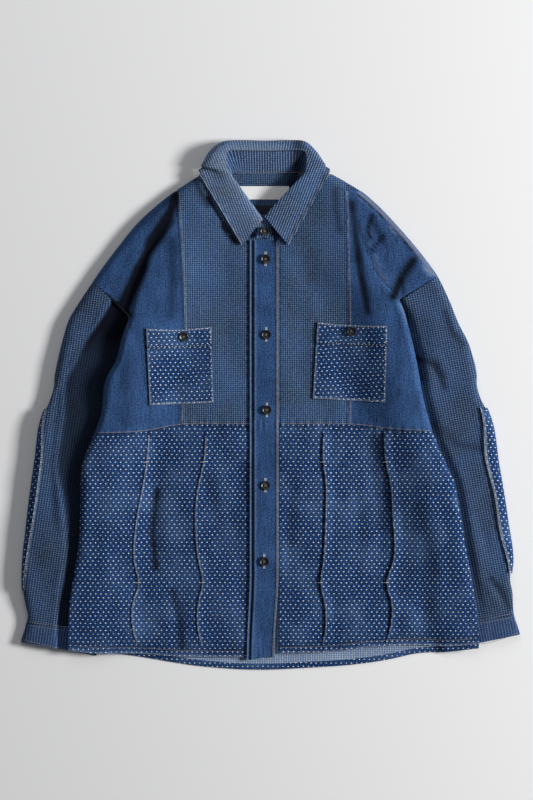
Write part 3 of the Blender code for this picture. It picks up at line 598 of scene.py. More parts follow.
@dataclass(frozen=True)
class DottedCloth:
    """Blue cloth with a navy lattice and worked white dots: a speckled, hand-stitched surface to the eye."""

    name: str = "dotted_sashiko_cloth"
    slot: str = "dotted_cloth"
    blue: str = "#2f62a6"
    navy: str = "#091430"
    faded: str = "#6388b8"
    dot: str = "#f1f6fa"
    dot_pitch: float = 7.6
    row_pitch: float = 5.5
    dot_size: float = 0.8

    def build(self) -> bpy.types.Material:
        """Returns: the material."""
        tree = NodeTree(self.name)
        place = tree.weave_place(0.0032)
        across = tree.add("Math", {0: place.outputs[0], 1: 1000 / self.dot_pitch}, operation="MULTIPLY")
        along = tree.add("Math", {0: place.outputs[1], 1: 1000 / self.row_pitch}, operation="MULTIPLY")
        row = tree.add("Math", {0: along}, operation="FLOOR")
        odd = tree.add("Math", {0: row, 1: 2.0}, operation="FLOORED_MODULO")
        shifted = tree.add("Math", {0: odd, 1: 0.5, 2: across}, operation="MULTIPLY_ADD")
        column = tree.add("Math", {0: shifted}, operation="FLOOR")
        east = tree.add("Math", {0: shifted, 1: column}, operation="SUBTRACT")
        north = tree.add("Math", {0: along, 1: row}, operation="SUBTRACT")
        cell = tree.add("CombineXYZ", {0: east, 1: north})
        centred = tree.add("VectorMath", {0: cell, 1: (0.5, 0.5, 0.0)}, operation="SUBTRACT")
        sized = tree.add(
            "VectorMath", {0: centred, 1: (self.dot_pitch, self.row_pitch * 1.25, 0.0)}, operation="MULTIPLY"
        )
        reach = tree.add("VectorMath", {0: sized}, operation="LENGTH")
        dot = tree.add(
            "MapRange",
            {0: reach.outputs["Value"], 1: self.dot_size * 0.75, 2: self.dot_size * 1.45, 3: 1.0, 4: 0.0},
            interpolation_type="SMOOTHSTEP",
        )
        cell_name = tree.add("CombineXYZ", {0: column, 1: row})
        chance = tree.add("TexWhiteNoise", {"Vector": cell_name})
        worn = tree.add("MapRange", {0: chance.outputs["Value"], 1: 0.0, 2: 0.6, 3: 0.42, 4: 1.0})
        shown = tree.add("Math", {0: dot, 1: worn}, operation="MULTIPLY")
        twice = tree.add("Math", {0: across, 1: 2.0}, operation="MULTIPLY")
        lines = []
        for way in (1.0, -1.0):
            diagonal = tree.add("Math", {0: along, 1: way, 2: twice}, operation="MULTIPLY_ADD")
            from_line = tree.add("Math", {0: diagonal, 1: 0.5}, operation="SUBTRACT")
            wave = tree.add("Math", {0: from_line, 1: 0.5}, operation="PINGPONG")
            lines.append(tree.add("MapRange", {0: wave, 1: 0.08, 2: 0.3, 3: 1.0, 4: 0.0}))
        lattice = tree.add("Math", {0: lines[0], 1: lines[1]}, operation="MAXIMUM")
        uv = tree.add("UVMap", uv_map="cloth")
        mottle = tree.add("TexNoise", {"Vector": uv, "Scale": 430.0, "Detail": 3.0, "Roughness": 0.7})
        washed = tree.add("TexNoise", {"Vector": uv, "Scale": 17.0, "Detail": 3.0})
        darkness = tree.add("Math", {0: lattice, 1: 0.75}, operation="MULTIPLY")
        speck = tree.add("MapRange", {0: mottle, 1: 0.4, 2: 0.62, 3: 0.0, 4: 0.8})
        darkness = tree.add("Math", {0: darkness, 1: speck}, operation="ADD", use_clamp=True)
        ground = tree.add(
            "Mix", {0: darkness, 6: linear(self.blue), 7: linear(self.navy)}, data_type="RGBA"
        ).outputs[2]
        fade = tree.add("MapRange", {0: washed, 1: 0.45, 2: 0.75, 3: 0.0, 4: 0.22})
        ground = tree.add("Mix", {0: fade, 6: ground, 7: linear(self.faded)}, data_type="RGBA").outputs[2]
        colour = tree.add("Mix", {0: shown, 6: ground, 7: linear(self.dot)}, data_type="RGBA").outputs[2]
        return tree.finish_cloth(colour, shown, 0.0006)


@dataclass(frozen=True)
class CheckCloth:
    """Blue cloth with fine light lines both ways: a small grid that reads as a mesh from a distance.

    The pitches are those of the checks in millimetres. The yarns in a check are too fine to show.
    """

    name: str = "fine_check_cloth"
    slot: str = "check_cloth"
    ground: str = "#1a3f78"
    shade: str = "#06122e"
    line: str = "#7592ad"
    warp_pitch: float = 3.4
    weft_pitch: float = 3.1
    warp_strength: float = 0.8
    weft_strength: float = 0.62

    def build(self) -> bpy.types.Material:
        """Returns: the material."""
        tree = NodeTree(self.name)
        place = tree.weave_place(0.0022)
        lines, gaps = [], []
        ways = ((0, self.warp_pitch, self.warp_strength), (1, self.weft_pitch, self.weft_strength))
        for axis, pitch, strength in ways:
            turns = tree.add("Math", {0: place.outputs[axis], 1: 1000 / pitch}, operation="MULTIPLY")
            wave = tree.add("Math", {0: turns, 1: 0.5}, operation="PINGPONG")
            lines.append(tree.add("MapRange", {0: wave, 1: 0.06, 2: 0.19, 3: strength, 4: 0.0}))
            gaps.append(wave)
        grid = tree.add("Math", {0: lines[0], 1: lines[1]}, operation="MAXIMUM")
        uv = tree.add("UVMap", uv_map="cloth")
        fibre = tree.add("TexNoise", {"Vector": uv, "Scale": 420.0, "Detail": 3.0})
        faded = tree.add("TexNoise", {"Vector": uv, "Scale": 13.0, "Detail": 4.0, "Roughness": 0.6})
        broken = tree.add("MapRange", {0: fibre, 1: 0.36, 2: 0.6, 3: 0.35, 4: 1.0})
        shown = tree.add("Math", {0: grid, 1: broken}, operation="MULTIPLY")
        pit = tree.add("Math", {0: gaps[0], 1: gaps[1]}, operation="MULTIPLY")
        pit = tree.add("MapRange", {0: pit, 1: 0.06, 2: 0.19, 3: 0.0, 4: 0.95})
        deep = tree.add("MapRange", {0: faded, 1: 0.4, 2: 0.68, 3: 0.8, 4: 0.0})
        deep = tree.add("Math", {0: deep, 1: pit}, operation="MAXIMUM")
        ground = tree.add(
            "Mix", {0: deep, 6: linear(self.ground), 7: linear(self.shade)}, data_type="RGBA"
        ).outputs[2]
        colour = tree.add("Mix", {0: shown, 6: ground, 7: linear(self.line)}, data_type="RGBA").outputs[2]
        return tree.finish_cloth(colour, shown, 0.0004)


@dataclass(frozen=True)
class PlainDenim:
    """Washed denim with slubs along the warp: a streaky mid-blue that pales where it is worn.

    Its twill, about 0.5 mm from rib to rib, is too fine to show, so the grain is drawn at 2 mm.
    """

    name: str = "plain_washed_denim"
    slot: str = "plain_denim"
    light: str = "#3d6093"
    dark: str = "#081633"

    def build(self) -> bpy.types.Material:
        """Returns: the material."""
        tree = NodeTree(self.name)
        uv = tree.add("UVMap", uv_map="cloth")
        stretched = tree.add("VectorMath", {0: uv, 1: (620.0, 38.0, 1.0)}, operation="MULTIPLY")
        slub = tree.add("TexNoise", {"Vector": stretched, "Scale": 1.0, "Detail": 3.0, "Roughness": 0.6})
        faded = tree.add("TexNoise", {"Vector": uv, "Scale": 15.0, "Detail": 4.0, "Roughness": 0.6})
        grain = tree.add("TexNoise", {"Vector": uv, "Scale": 480.0, "Detail": 2.0})
        streak = tree.add("MapRange", {0: slub, 1: 0.32, 2: 0.68, 3: 0.0, 4: 0.4})
        speck = tree.add("MapRange", {0: grain, 1: 0.42, 2: 0.58, 3: 0.0, 4: 0.45})
        pale = tree.add("MapRange", {0: faded, 1: 0.35, 2: 0.7, 3: 0.0, 4: 0.3})
        both = tree.add("Math", {0: streak, 1: speck}, operation="ADD")
        amount = tree.add("Math", {0: both, 1: pale}, operation="ADD", use_clamp=True)
        colour = tree.add(
            "Mix", {0: amount, 6: linear(self.dark), 7: linear(self.light)}, data_type="RGBA"
        ).outputs[2]
        relief = tree.add("Math", {0: slub, 1: grain}, operation="ADD")
        return tree.finish_cloth(colour, relief, 0.00035)


@dataclass(frozen=True)
class Horn:
    """Polished dark horn with paler streaks: a small glossy disc that isn't quite black."""

    name: str = "marbled_horn"
    slot: str = "horn_button"
    dark: str = "#0d0d11"
    streak: str = "#43454b"

    def build(self) -> bpy.types.Material:
        """Returns: the material."""
        tree = NodeTree(self.name)
        place = tree.add("TexCoord")
        veins = tree.add(
            "TexNoise", {"Vector": place.outputs["Object"], "Scale": 170.0, "Detail": 3.0, "Distortion": 1.6}
        )
        amount = tree.add("MapRange", {0: veins, 1: 0.48, 2: 0.72, 3: 0.0, 4: 0.8})
        colour = tree.add(
            "Mix", {0: amount, 6: linear(self.dark), 7: linear(self.streak)}, data_type="RGBA"
        ).outputs[2]
        tree.connect(tree.shader, {"Base Color": colour, "Roughness": 0.32})
        return tree.material


@dataclass(frozen=True)
class Plain:
    """One even colour, for thread, tape and the surface below."""

    name: str
    slot: str
    colour: str
    roughness: float = 0.9

    def build(self) -> bpy.types.Material:
        """Returns: the material."""
        tree = NodeTree(self.name)
        tree.connect(tree.shader, {"Base Color": linear(self.colour), "Roughness": self.roughness})
        return tree.material


DOTTED = DottedCloth()
CHECK = CheckCloth()
# Wider lines one way than the other: pale ribs run along the collar, and it looks thicker than the body
RIBBED = CheckCloth(
    name="ribbed_check_cloth", ground="#26508c", shade="#091a3d", line="#9db7d1", warp_pitch=3.9,
    weft_pitch=2.9, warp_strength=0.85, weft_strength=0.34,
)
# Greyer and more open, so that the cuffs look washed out beside the sleeves
CUFF_CHECK = CheckCloth(
    name="cuff_check_cloth", ground="#21426f", shade="#0f2146", line="#7489a6", warp_pitch=4.2,
    weft_pitch=2.8, warp_strength=0.6, weft_strength=0.4,
)
# Darker and coarser than the body's check, so that the sleeves lie back behind it
SLEEVE_CHECK = CheckCloth(
    name="sleeve_check_cloth", ground="#193a6b", shade="#071533", line="#71889f", warp_pitch=3.9,
    weft_pitch=3.3, warp_strength=0.7, weft_strength=0.6,
)
DENIM = PlainDenim()
# The pale inside of the back skirt, which shows as a light band above its hem
WRONG_SIDE = CheckCloth(
    name="pale_wrong_side", slot="dotted_cloth", ground="#6f87a9", shade="#4a648c", line="#c3cedb",
    warp_pitch=3.6, weft_pitch=3.0,
)
HORN = Horn()
# A faded tan that only just parts from the blue, a grey that catches light in the button holes, and a white
# that stands out at pockets and bar-tacks
TAN_THREAD = Plain("tan_thread", "", "#857f82")
GREY_THREAD = Plain("grey_thread", "", "#6d6f73")
WHITE_THREAD = Plain("white_thread", "", "#c9ccce")
# The brightest and the darkest spot of the neck, both bare
NECK_TAPE = Plain("woven_white_label", "neck_tape", "#eceded", 0.8)
SIZE_TAPE = Plain("woven_dark_label", "size_tape", "#1a2030", 0.85)
# A plain pale surface that shows the jacket's soft shadow and nothing else
FLOOR = Plain("pale_matt_surface", "", "#e9eaec", 0.9)
Finish = DottedCloth | CheckCloth | PlainDenim | Horn | Plain


class Wardrobe:
    """Keeps one material for each finish."""

    def __init__(self) -> None:
        """Starts with no material."""
        self.made: dict[str, bpy.types.Material] = {}

    def material(self, finish: Finish) -> bpy.types.Material:
        """The material of a finish, made the first time that it is asked for.

        Args:
            finish: The finish.

        Returns:
            Its material.
        """
        if finish.name not in self.made:
            self.made[finish.name] = finish.build()
        return self.made[finish.name]


# Creases and puckers


def along_path(path: Array, x: Array, y: Array) -> tuple[Array, Array]:
    """Distance from a line on the plan, and how far along it the nearest point lies.

    Args:
        path: The line's points, in order.
        x: Plan places across.
        y: Plan places along.

    Returns:
        The distances, and the lengths along the line.
    """
    best = np.full(np.shape(x), 1e9)
    where = np.zeros(np.shape(x))
    done = 0.0
    for first, second in zip(path[:-1], path[1:]):
        step = second - first
        length = float(np.hypot(*step))
        share = np.clip(((x - first[0]) * step[0] + (y - first[1]) * step[1]) / length**2, 0.0, 1.0)
        away = np.hypot(x - first[0] - share * step[0], y - first[1] - share * step[1])
        nearer = away < best
        best = np.where(nearer, away, best)
        where = np.where(nearer, done + share * length, where)
        done += length
    return best, where


@dataclass(frozen=True)
class Crease:
    """A soft ridge, or a trough where the height is negative, along a line on the plan."""

    path: tuple
    height: float
    width: float
    end: float = 0.3

    def lift(self, x: Array, y: Array) -> Array:
        """Returns: the change of height at plan places x and y."""
        path = np.array(self.path, float)
        total = float(np.hypot(*np.diff(path, axis=0).T).sum())
        away, where = along_path(path, x, y)
        share = where / total
        fade = smooth(share, -0.02, self.end) * smooth(1.0 - share, -0.02, self.end)
        return self.height * np.exp(-((away / self.width) ** 2)) * fade


@dataclass(frozen=True)
class Pucker:
    """The small waves that a washed seam draws in the cloth beside it."""

    path: tuple
    height: float
    reach: float
    pitch: float

    def lift(self, x: Array, y: Array) -> Array:
        """Returns: the change of height at plan places x and y."""
        away, where = along_path(np.array(self.path, float), x, y)
        turn = 2 * math.pi * where / self.pitch + 2.1 * np.sin(where / 19.0) + 1.3 * np.sin(where / 7.3)
        return self.height * np.sin(turn) * np.exp(-((away / self.reach) ** 2))


# Slow unevenness of cloth that nobody has pressed: turns per millimetre across and along, phase and height
WAVES = (
    (0.071, 0.022, 0.3, 0.42), (-0.046, 0.057, 1.9, 0.4), (0.023, -0.083, 4.1, 0.32),
    (0.118, 0.041, 2.6, 0.2), (-0.093, -0.067, 5.2, 0.22), (0.052, 0.131, 0.9, 0.16),
    (0.16, -0.03, 3.3, 0.13),
)


def unevenness(x: Array, y: Array) -> Array:
    """Returns: the slow unevenness of the cloth at plan places x and y."""
    return sum(size * np.sin(over * x + up * y + phase) for over, up, phase, size in WAVES)


def line_path(line: Line, start: float, end: float, sign: int, by: float = 0.0) -> tuple:
    """Points along a line of one half.

    Args:
        line: The line, by distance outward.
        start: Where it starts on the axis that it runs along.
        end: Where it ends there.
        sign: The side of the middle.
        by: How far the points are moved outward, or up for a line that runs along x.

    Returns:
        The points on the plan.
    """
    places = np.linspace(start, end, 24)
    if line.along is Along.Y:
        return tuple((sign * (float(line(y)) + by), float(y)) for y in places)
    return tuple((sign * float(x), float(line(x)) + by) for x in places)


# Folds of body and sleeves, each a line on the plan with its height, its width and how long its ends fade
BODY_CREASES = tuple(Crease(*row) for row in (
    (((-143, 312), (-151, 287), (-165, 263), (-180, 242), (-196, 203), (-212, 165), (-224, 134)), -3.0, 8.0),
    (((-150, 318), (-166, 284), (-196, 244), (-213, 205), (-228, 178)), 1.6, 9.0),
    (((122, 302), (127, 255), (131, 215), (137, 180), (146, 140)), -2.0, 6.0),
    (((128, 288), (146, 250), (164, 200), (188, 165), (206, 123)), 1.8, 6.0),
    (((145, 281), (156, 258), (171, 231)), -1.6, 4.5),
    (((154, 286), (168, 262), (180, 238)), 1.2, 5.0),
    (((176, 264), (190, 246), (214, 226)), -1.1, 5.0),
    (((191, 190), (195, 174), (200, 155)), -2.4, 4.5),
    (((-206, 120), (-192, 70), (-188, 8)), -1.5, 9.0),
    (((186, 148), (185, 100), (188, 30)), -1.3, 8.0),
    (((-66, 240), (-64, 150), (-70, 40)), -1.0, 12.0),
    (((56, 230), (50, 140), (46, 20)), -1.0, 11.0),
    (((-250, -80), (-262, -180), (-258, -300)), -1.4, 10.0),
    (((240, -90), (262, -190), (268, -300)), -1.3, 9.0),
    (((-160, 250), (-150, 200), (-146, 150)), -0.9, 8.0),
    (((130, 200), (138, 170), (140, 140)), -0.9, 8.0),
    (((-46, -60), (-50, -200), (-44, -340)), -1.2, 10.0),
    (((36, -70), (28, -210), (34, -330)), -1.1, 9.0),
    (((128, -70), (132, -180), (126, -300)), -1.0, 9.0),
))
SLEEVE_CREASES = tuple(Crease(*row) for row in (
    (((-241, 147), (-272, 92), (-291, 64), (-302, 26), (-316, -82), (-313, -210)), 1.9, 8.0, 0.12),
    (((-252, 150), (-285, 92), (-303, 62), (-316, 22), (-329, -82), (-326, -190)), -1.6, 6.5, 0.12),
    (((-300, 40), (-318, 20), (-334, 6)), -1.2, 5.0),
    (((-296, -120), (-320, -140), (-352, -138)), -0.9, 6.0),
    (((-312, -236), (-332, -260), (-360, -262)), -1.0, 6.0),
    (((-318, -292), (-340, -300), (-362, -318)), -0.9, 5.0),
    (((218, 71), (245, 60), (262, 26)), -2.2, 4.5),
    (((222, 82), (252, 70), (272, 32)), 1.3, 6.0),
    (((262, 140), (270, 110), (290, 90)), -1.1, 5.0),
    (((246, -30), (280, -60), (318, -64)), -1.0, 7.0),
    (((300, -150), (322, -200), (330, -240)), -1.1, 7.0),
    (((331, -259), (345, -280), (359, -305)), -1.7, 5.0),
    (((322, -262), (336, -290), (348, -312)), 1.0, 5.0),
))


def seam_puckers() -> tuple:
    """Returns: the puckers along the seams, the placket and the hems of the fronts."""
    found = []
    for half in (LEFT, RIGHT):
        sign = half.sign
        found += [
            (line_path(half.seam, 318, -30, sign), 0.45, 6.5, 10.5),
            (line_path(half.waist, 6, half.body_edge(-40.0) - 12, sign), 0.55, 8.0, 12.0),
            (line_path(half.front_hem, 8, half.body_edge(-368.0) - 10, sign, 5.0), 0.6, 8.0, 8.5),
        ]
        found += [(line_path(tuck, -60, -345, sign, 3.0 * sign), 0.3, 6.0, 11.0) for tuck in half.tucks]
    found.append((((-29, 240), (-29, -380)), 0.35, 5.0, 9.0))
    found.append((((15, 240), (14, -250), (9, -380)), 0.55, 8.0, 11.0))
    return tuple(Pucker(*row) for row in found)


BODY_PUCKERS = seam_puckers()


@dataclass(frozen=True)
class PaintedLightAndWearLine:
    """A line painted pale, for rubbed cloth and painted highlight, or painted dark as shade where the
    strength is negative.

    A thin line is broken by the weave, and a wide one hardly.
    """

    path: tuple
    strength: float
    width: float

    def amount(self, x: Array, y: Array) -> Array:
        """Returns: the pale and the painted shade at plan places x and y."""
        away, where = along_path(np.array(self.path, float), x, y)
        depth, turn = (0.26, 2.3) if self.width < 2.4 else (0.05, 9.0)
        patchy = 1.0 - depth + depth * np.sin(where / turn + 2.0 * np.sin(where / 15.0))
        return self.strength * patchy * np.exp(-((away / self.width) ** 2))


def beside_outline(half: Half, start: float, end: float, inward: float) -> tuple:
    """Points that follow the silhouette of a shoulder.

    Args:
        half: The half of the jacket.
        start: The first y.
        end: The last y.
        inward: How far inside the silhouette they lie.

    Returns:
        The points on the plan.
    """
    points = []
    for y in np.linspace(start, end, 30):
        lean = float(half.outline.lean(y))
        size = math.hypot(1.0, lean)
        points.append((half.sign * (float(half.outline(y)) - inward / size), float(y) + inward * lean / size))
    return tuple(points)


def painted_light_and_wear_lines() -> tuple:
    """Returns: the pale and dark lines painted on the fronts, each pale line, rubbed and painted highlight,
    with a painted shadow on its left.
    """
    found = []
    for half in (LEFT, RIGHT):
        sign = half.sign
        for tuck, top in zip(half.tucks, half.tuck_shade_top):
            # Each tuck's crest painted pale as highlight and rub, and a painted shadow on its left
            found.append((line_path(tuck, -50, -358, sign, 0.6 * sign), 0.72, 1.15))
            found.append((line_path(tuck, top, -356, sign, -2.0 * sign), *half.tuck_shade))
        hem_end, waist_end = float(half.body_edge(-368.0)), float(half.body_edge(-40.0))
        found += [
            # Seams and hem painted pale as highlight and rub, with painted shade left of the seams, above the
            # hem and along the waist seam
            (line_path(half.seam, 320, -28, sign, 1.2 * sign), 0.42, 1.7),
            (line_path(half.seam, 320, -28, sign, -2.0 * sign), -0.6, 1.8),
            (line_path(half.front_hem, 4, hem_end, sign, 0.6), 0.5, 1.8),
            (line_path(half.front_hem, 4, hem_end, sign, 11.0), -0.3, 3.0),
            (line_path(half.waist, 4, waist_end, sign, -2.0), -0.35, 2.2),
        ]
    found += [
        # Painted shadows beside the placket's edges, then the right shoulder's seam strip: a painted shadow
        # between pale edges of painted highlight and rub
        (((-33.4, 246), (-33.4, -250), (-37.8, -384)), -0.9, 1.7),
        (((14.5, 246), (14.5, -250), (8, -376)), -0.55, 2.0),
        (beside_outline(RIGHT, 322.0, 199.0, 8.6), -1.1, 1.2),
        (beside_outline(RIGHT, 322.0, 199.0, 5.0), 0.35, 2.4),
        (beside_outline(RIGHT, 322.0, 199.0, 10.6), 0.3, 1.2),
    ]
    return (*(PaintedLightAndWearLine(*row) for row in found), *FRONT_SHADES)


# Painted shade in hollows and folds, the painted shadows cast by shoulders, collar and pockets, and one
# painted highlight on a fold's crest, each a line on the plan with its strength and its width
FRONT_SHADES = tuple(PaintedLightAndWearLine(*row) for row in (
    (((-143, 312), (-151, 287), (-165, 263), (-180, 242), (-196, 203), (-212, 165), (-224, 134)), -1.5, 7.5),
    (((-196, 203), (-213, 168), (-226, 142)), -1.1, 9.5),
    (((-209, 134), (-228, 150), (-246, 166)), -0.9, 3.0),
    (((-157, 274), (-176, 247)), -0.8, 11.0),
    (((-146, 245), (-147, 185), (-150, 135)), -0.5, 8.5),
    (((-168, 150), (-166, 128)), -0.3, 9.0),
    (((122, 302), (127, 255), (131, 215), (137, 180), (146, 140)), -0.95, 7.0),
    # A painted highlight along this fold's crest
    (((128, 288), (146, 250), (164, 200), (188, 165), (206, 123)), 0.14, 3.2),
    (((153, 284), (146, 267), (149, 250)), -1.3, 3.2),
    (((169, 254), (159, 241), (152, 230)), -1.1, 2.8),
    (((214, 216), (201, 198), (192, 181), (185, 163)), -1.4, 6.8),
    (((-170, -128), (-177, -190), (-172, -245)), -0.95, 6.0),
    (((-146, -279), (-136, -320), (-133, -362)), -0.75, 6.5),
    (((-92, -108), (-80, -150), (-72, -210)), -0.35, 9.0),
    (((222, -150), (236, -200), (246, -250)), -0.4, 10.0),
    (((158, -50), (162, -120), (167, -185)), -0.5, 8.0),
    (((97, 322), (99, 290), (104, 262)), -0.6, 6.5),
    (((-112, 338), (-104, 318), (-94, 300)), -0.7, 5.5),
    (((-94, 311), (-75.5, 281), (-62.5, 259.5), (-52, 243.5)), -1.4, 2.5),
    (((-71, 268), (-62, 255), (-55, 246)), -1.2, 4.2),
    (((-187.3, 114), (-182.6, 0)), -1.2, 1.5),
    (((69.3, 124), (62.3, 10)), -1.2, 1.5),
    (((-220, 60), (-214, 10), (-218, -30)), -0.35, 9.0),
    (((150, 110), (160, 60), (168, 10)), -0.25, 10.0),
))
# Painted shade in the folds of the sleeves, each a line on the plan with its strength and its width
SLEEVE_SHADES = tuple(PaintedLightAndWearLine(*row) for row in (
    (((218, 71), (245, 60), (262, 26)), -0.8, 4.0),
    (((262, 140), (270, 110), (290, 90)), -0.45, 5.0),
    (((246, -30), (280, -60), (318, -64)), -0.4, 7.0),
    (((331, -259), (345, -280), (359, -305)), -0.7, 4.0),
    (((206, 112), (216, 80), (226, 40)), -0.7, 5.0),
    (((-352, -60), (-368, -160), (-372, -250)), -0.3, 6.0),
))
# Painted shadow down the right of the neck, over the back, the stand and the fall
NECK_SHADE = PaintedLightAndWearLine(((42, 394), (41, 369), (39, 348), (33, 334), (27, 318)), -0.95, 10.5)
# Painted shadow on the stand and the placket just below the stand's button
THROAT_SHADE = PaintedLightAndWearLine(((4, 264), (6, 253), (8, 246)), -0.9, 7.5)

PAINTED_LIGHT_AND_WEAR_LINES = painted_light_and_wear_lines()


def front_painted_light_and_wear(x: Array, y: Array) -> Array:
    """Returns: the pale and the painted shade of the fronts, rubbed cloth with painted highlights and
    shadows, at places of the whole plan.
    """
    return np.clip(sum(line.amount(x, y) for line in PAINTED_LIGHT_AND_WEAR_LINES), -1.0, 1.0)


def front_surface(half: Half, x: Array, y: Array) -> Array:
    """The outer face of a front with its creases.

    Args:
        half: The half of the jacket.
        x: Distances outward from the middle.
        y: Places along the jacket.

    Returns:
        The heights.
    """
    x, y = np.broadcast_arrays(np.asarray(x, float), np.asarray(y, float))
    world = half.sign * x
    lift = unevenness(world, y)
    for mark in BODY_CREASES + BODY_PUCKERS:
        lift = lift + mark.lift(world, y)
    inside = smooth(half.limit(y) - x, 1.0, 14.0) * smooth(half.outline_gap(x, y), 1.0, 14.0)
    at_hem = 0.35 + 0.65 * smooth(y - half.front_hem(x), 0.0, 20.0)
    seated = half.back_top(x, y) + LAY + CLOTH + SEAM_GAP
    return np.maximum(half.front_top(x, y) + lift * inside * at_hem, seated)


def top_of_fronts(x: Array, y: Array) -> Array:
    """Returns: the outer face of whichever front lies on top, at places of the whole plan."""
    x, y = np.broadcast_arrays(np.asarray(x, float), np.asarray(y, float))
    left, right = front_surface(LEFT, -x, y), front_surface(RIGHT, x, y)
    own = np.where(x < 0, left, right)
    return np.where(np.abs(x) <= PLACKET_SEWN_X + 1.0, np.maximum(left, right), own)


# How far the left sleeve lies low beside the body, with the body's shadow painted dark on it, by the place
# along it
SHADED_REACH = Line(
    (19, -350), (20, -200), (28, -140), (40, -85), (49, -50), (57, -12), (60, 30), (60, 74), (46, 121),
    (36, 150), (27, 177),
)


def shaded_sleeve(half: Half, x: Array, y: Array) -> Array:
    """Returns: how much of the body's shadow a place of the sleeve lies in, from 0 to 1."""
    if half is RIGHT:
        return 0.0 * x
    reach = SHADED_REACH(y)
    return smooth(x - half.body_edge(y), reach + 2.0, reach - 5.0)


def sleeve_painted_shade(half: Half, outer: Array) -> Array:
    """Returns: the painted shade of a sleeve, the body's shadow beside the body and the shade in its own
    folds, over the grid of its outer face.
    """
    x, y = half.sign * outer[:, :, 0], outer[:, :, 1]
    dark = shaded_sleeve(half, x, y) * (0.8 + 0.2 * smooth(y, 60.0, 115.0))
    folds = sum(line.amount(outer[:, :, 0], y) for line in SLEEVE_SHADES)
    return np.clip(folds - dark, -1.0, 1.0)


def sleeve_surface(half: Half, x: Array, y: Array) -> Array:
    """Returns: the top of a sleeve with its creases, by distance outward x and place y."""
    lift = unevenness(half.sign * x + 400.0, y)
    for mark in SLEEVE_CREASES:
        lift = lift + mark.lift(half.sign * x, y)
    past = x - half.body_edge(y)
    beyond = smooth(past, 4.0, 22.0) + smooth(y, half.pit[1] - 10.0, half.pit[1])
    inside = np.clip(beyond, 0.0, 1.0) * smooth(half.outline_gap(x, y), 1.0, 15.0)
    sunk = smooth(past, 8.0, 0.0) * smooth(y, half.pit[1] - 45.0, half.pit[1] - 20.0)
    sunk = 5.5 * np.maximum(sunk, shaded_sleeve(half, x, y))
    return half.sleeve_top(x, y) + lift * inside - sunk


def placket_lean(y: Array) -> Array:
    """Returns: how much of its lean to the left the placket has taken at each place, from 0 to 1."""
    return smooth(y, -250.0, PLACKET_FOOT_Y)


def placket_edges(y: Array) -> tuple[Array, Array]:
    """Returns: the x of the placket's free edge and of its sewn edge."""
    return PLACKET_FREE_X - 4.5 * placket_lean(y), PLACKET_SEWN_X - 6.0 * placket_lean(y)


def placket_surface(x: Array, y: Array) -> Array:
    """Returns: the outer face of the placket, with the raised edges that its stitching draws."""
    free, sewn = placket_edges(y)
    edge = np.exp(-(((x - sewn + 1.2) / 1.8) ** 2)) - 3.0 * np.exp(-(((x - free - 4.2) / 1.5) ** 2))
    edge = edge + 1.6 * np.exp(-(((x - free - 7.5) / 2.4) ** 2))
    ripple = 0.35 * np.sin(y / 1.9 + 1.4 * np.sin(y / 13.0)) * np.exp(-(((x - sewn) / 9.0) ** 2))
    ripple = ripple + 0.25 * np.sin(y / 2.3 + 2.0 * np.sin(y / 17.0)) * np.exp(-(((x - free) / 8.0) ** 2))
    return top_of_fronts(x, y) + LAY + DOUBLED - 0.3 + 0.45 * edge + ripple


# Cloth


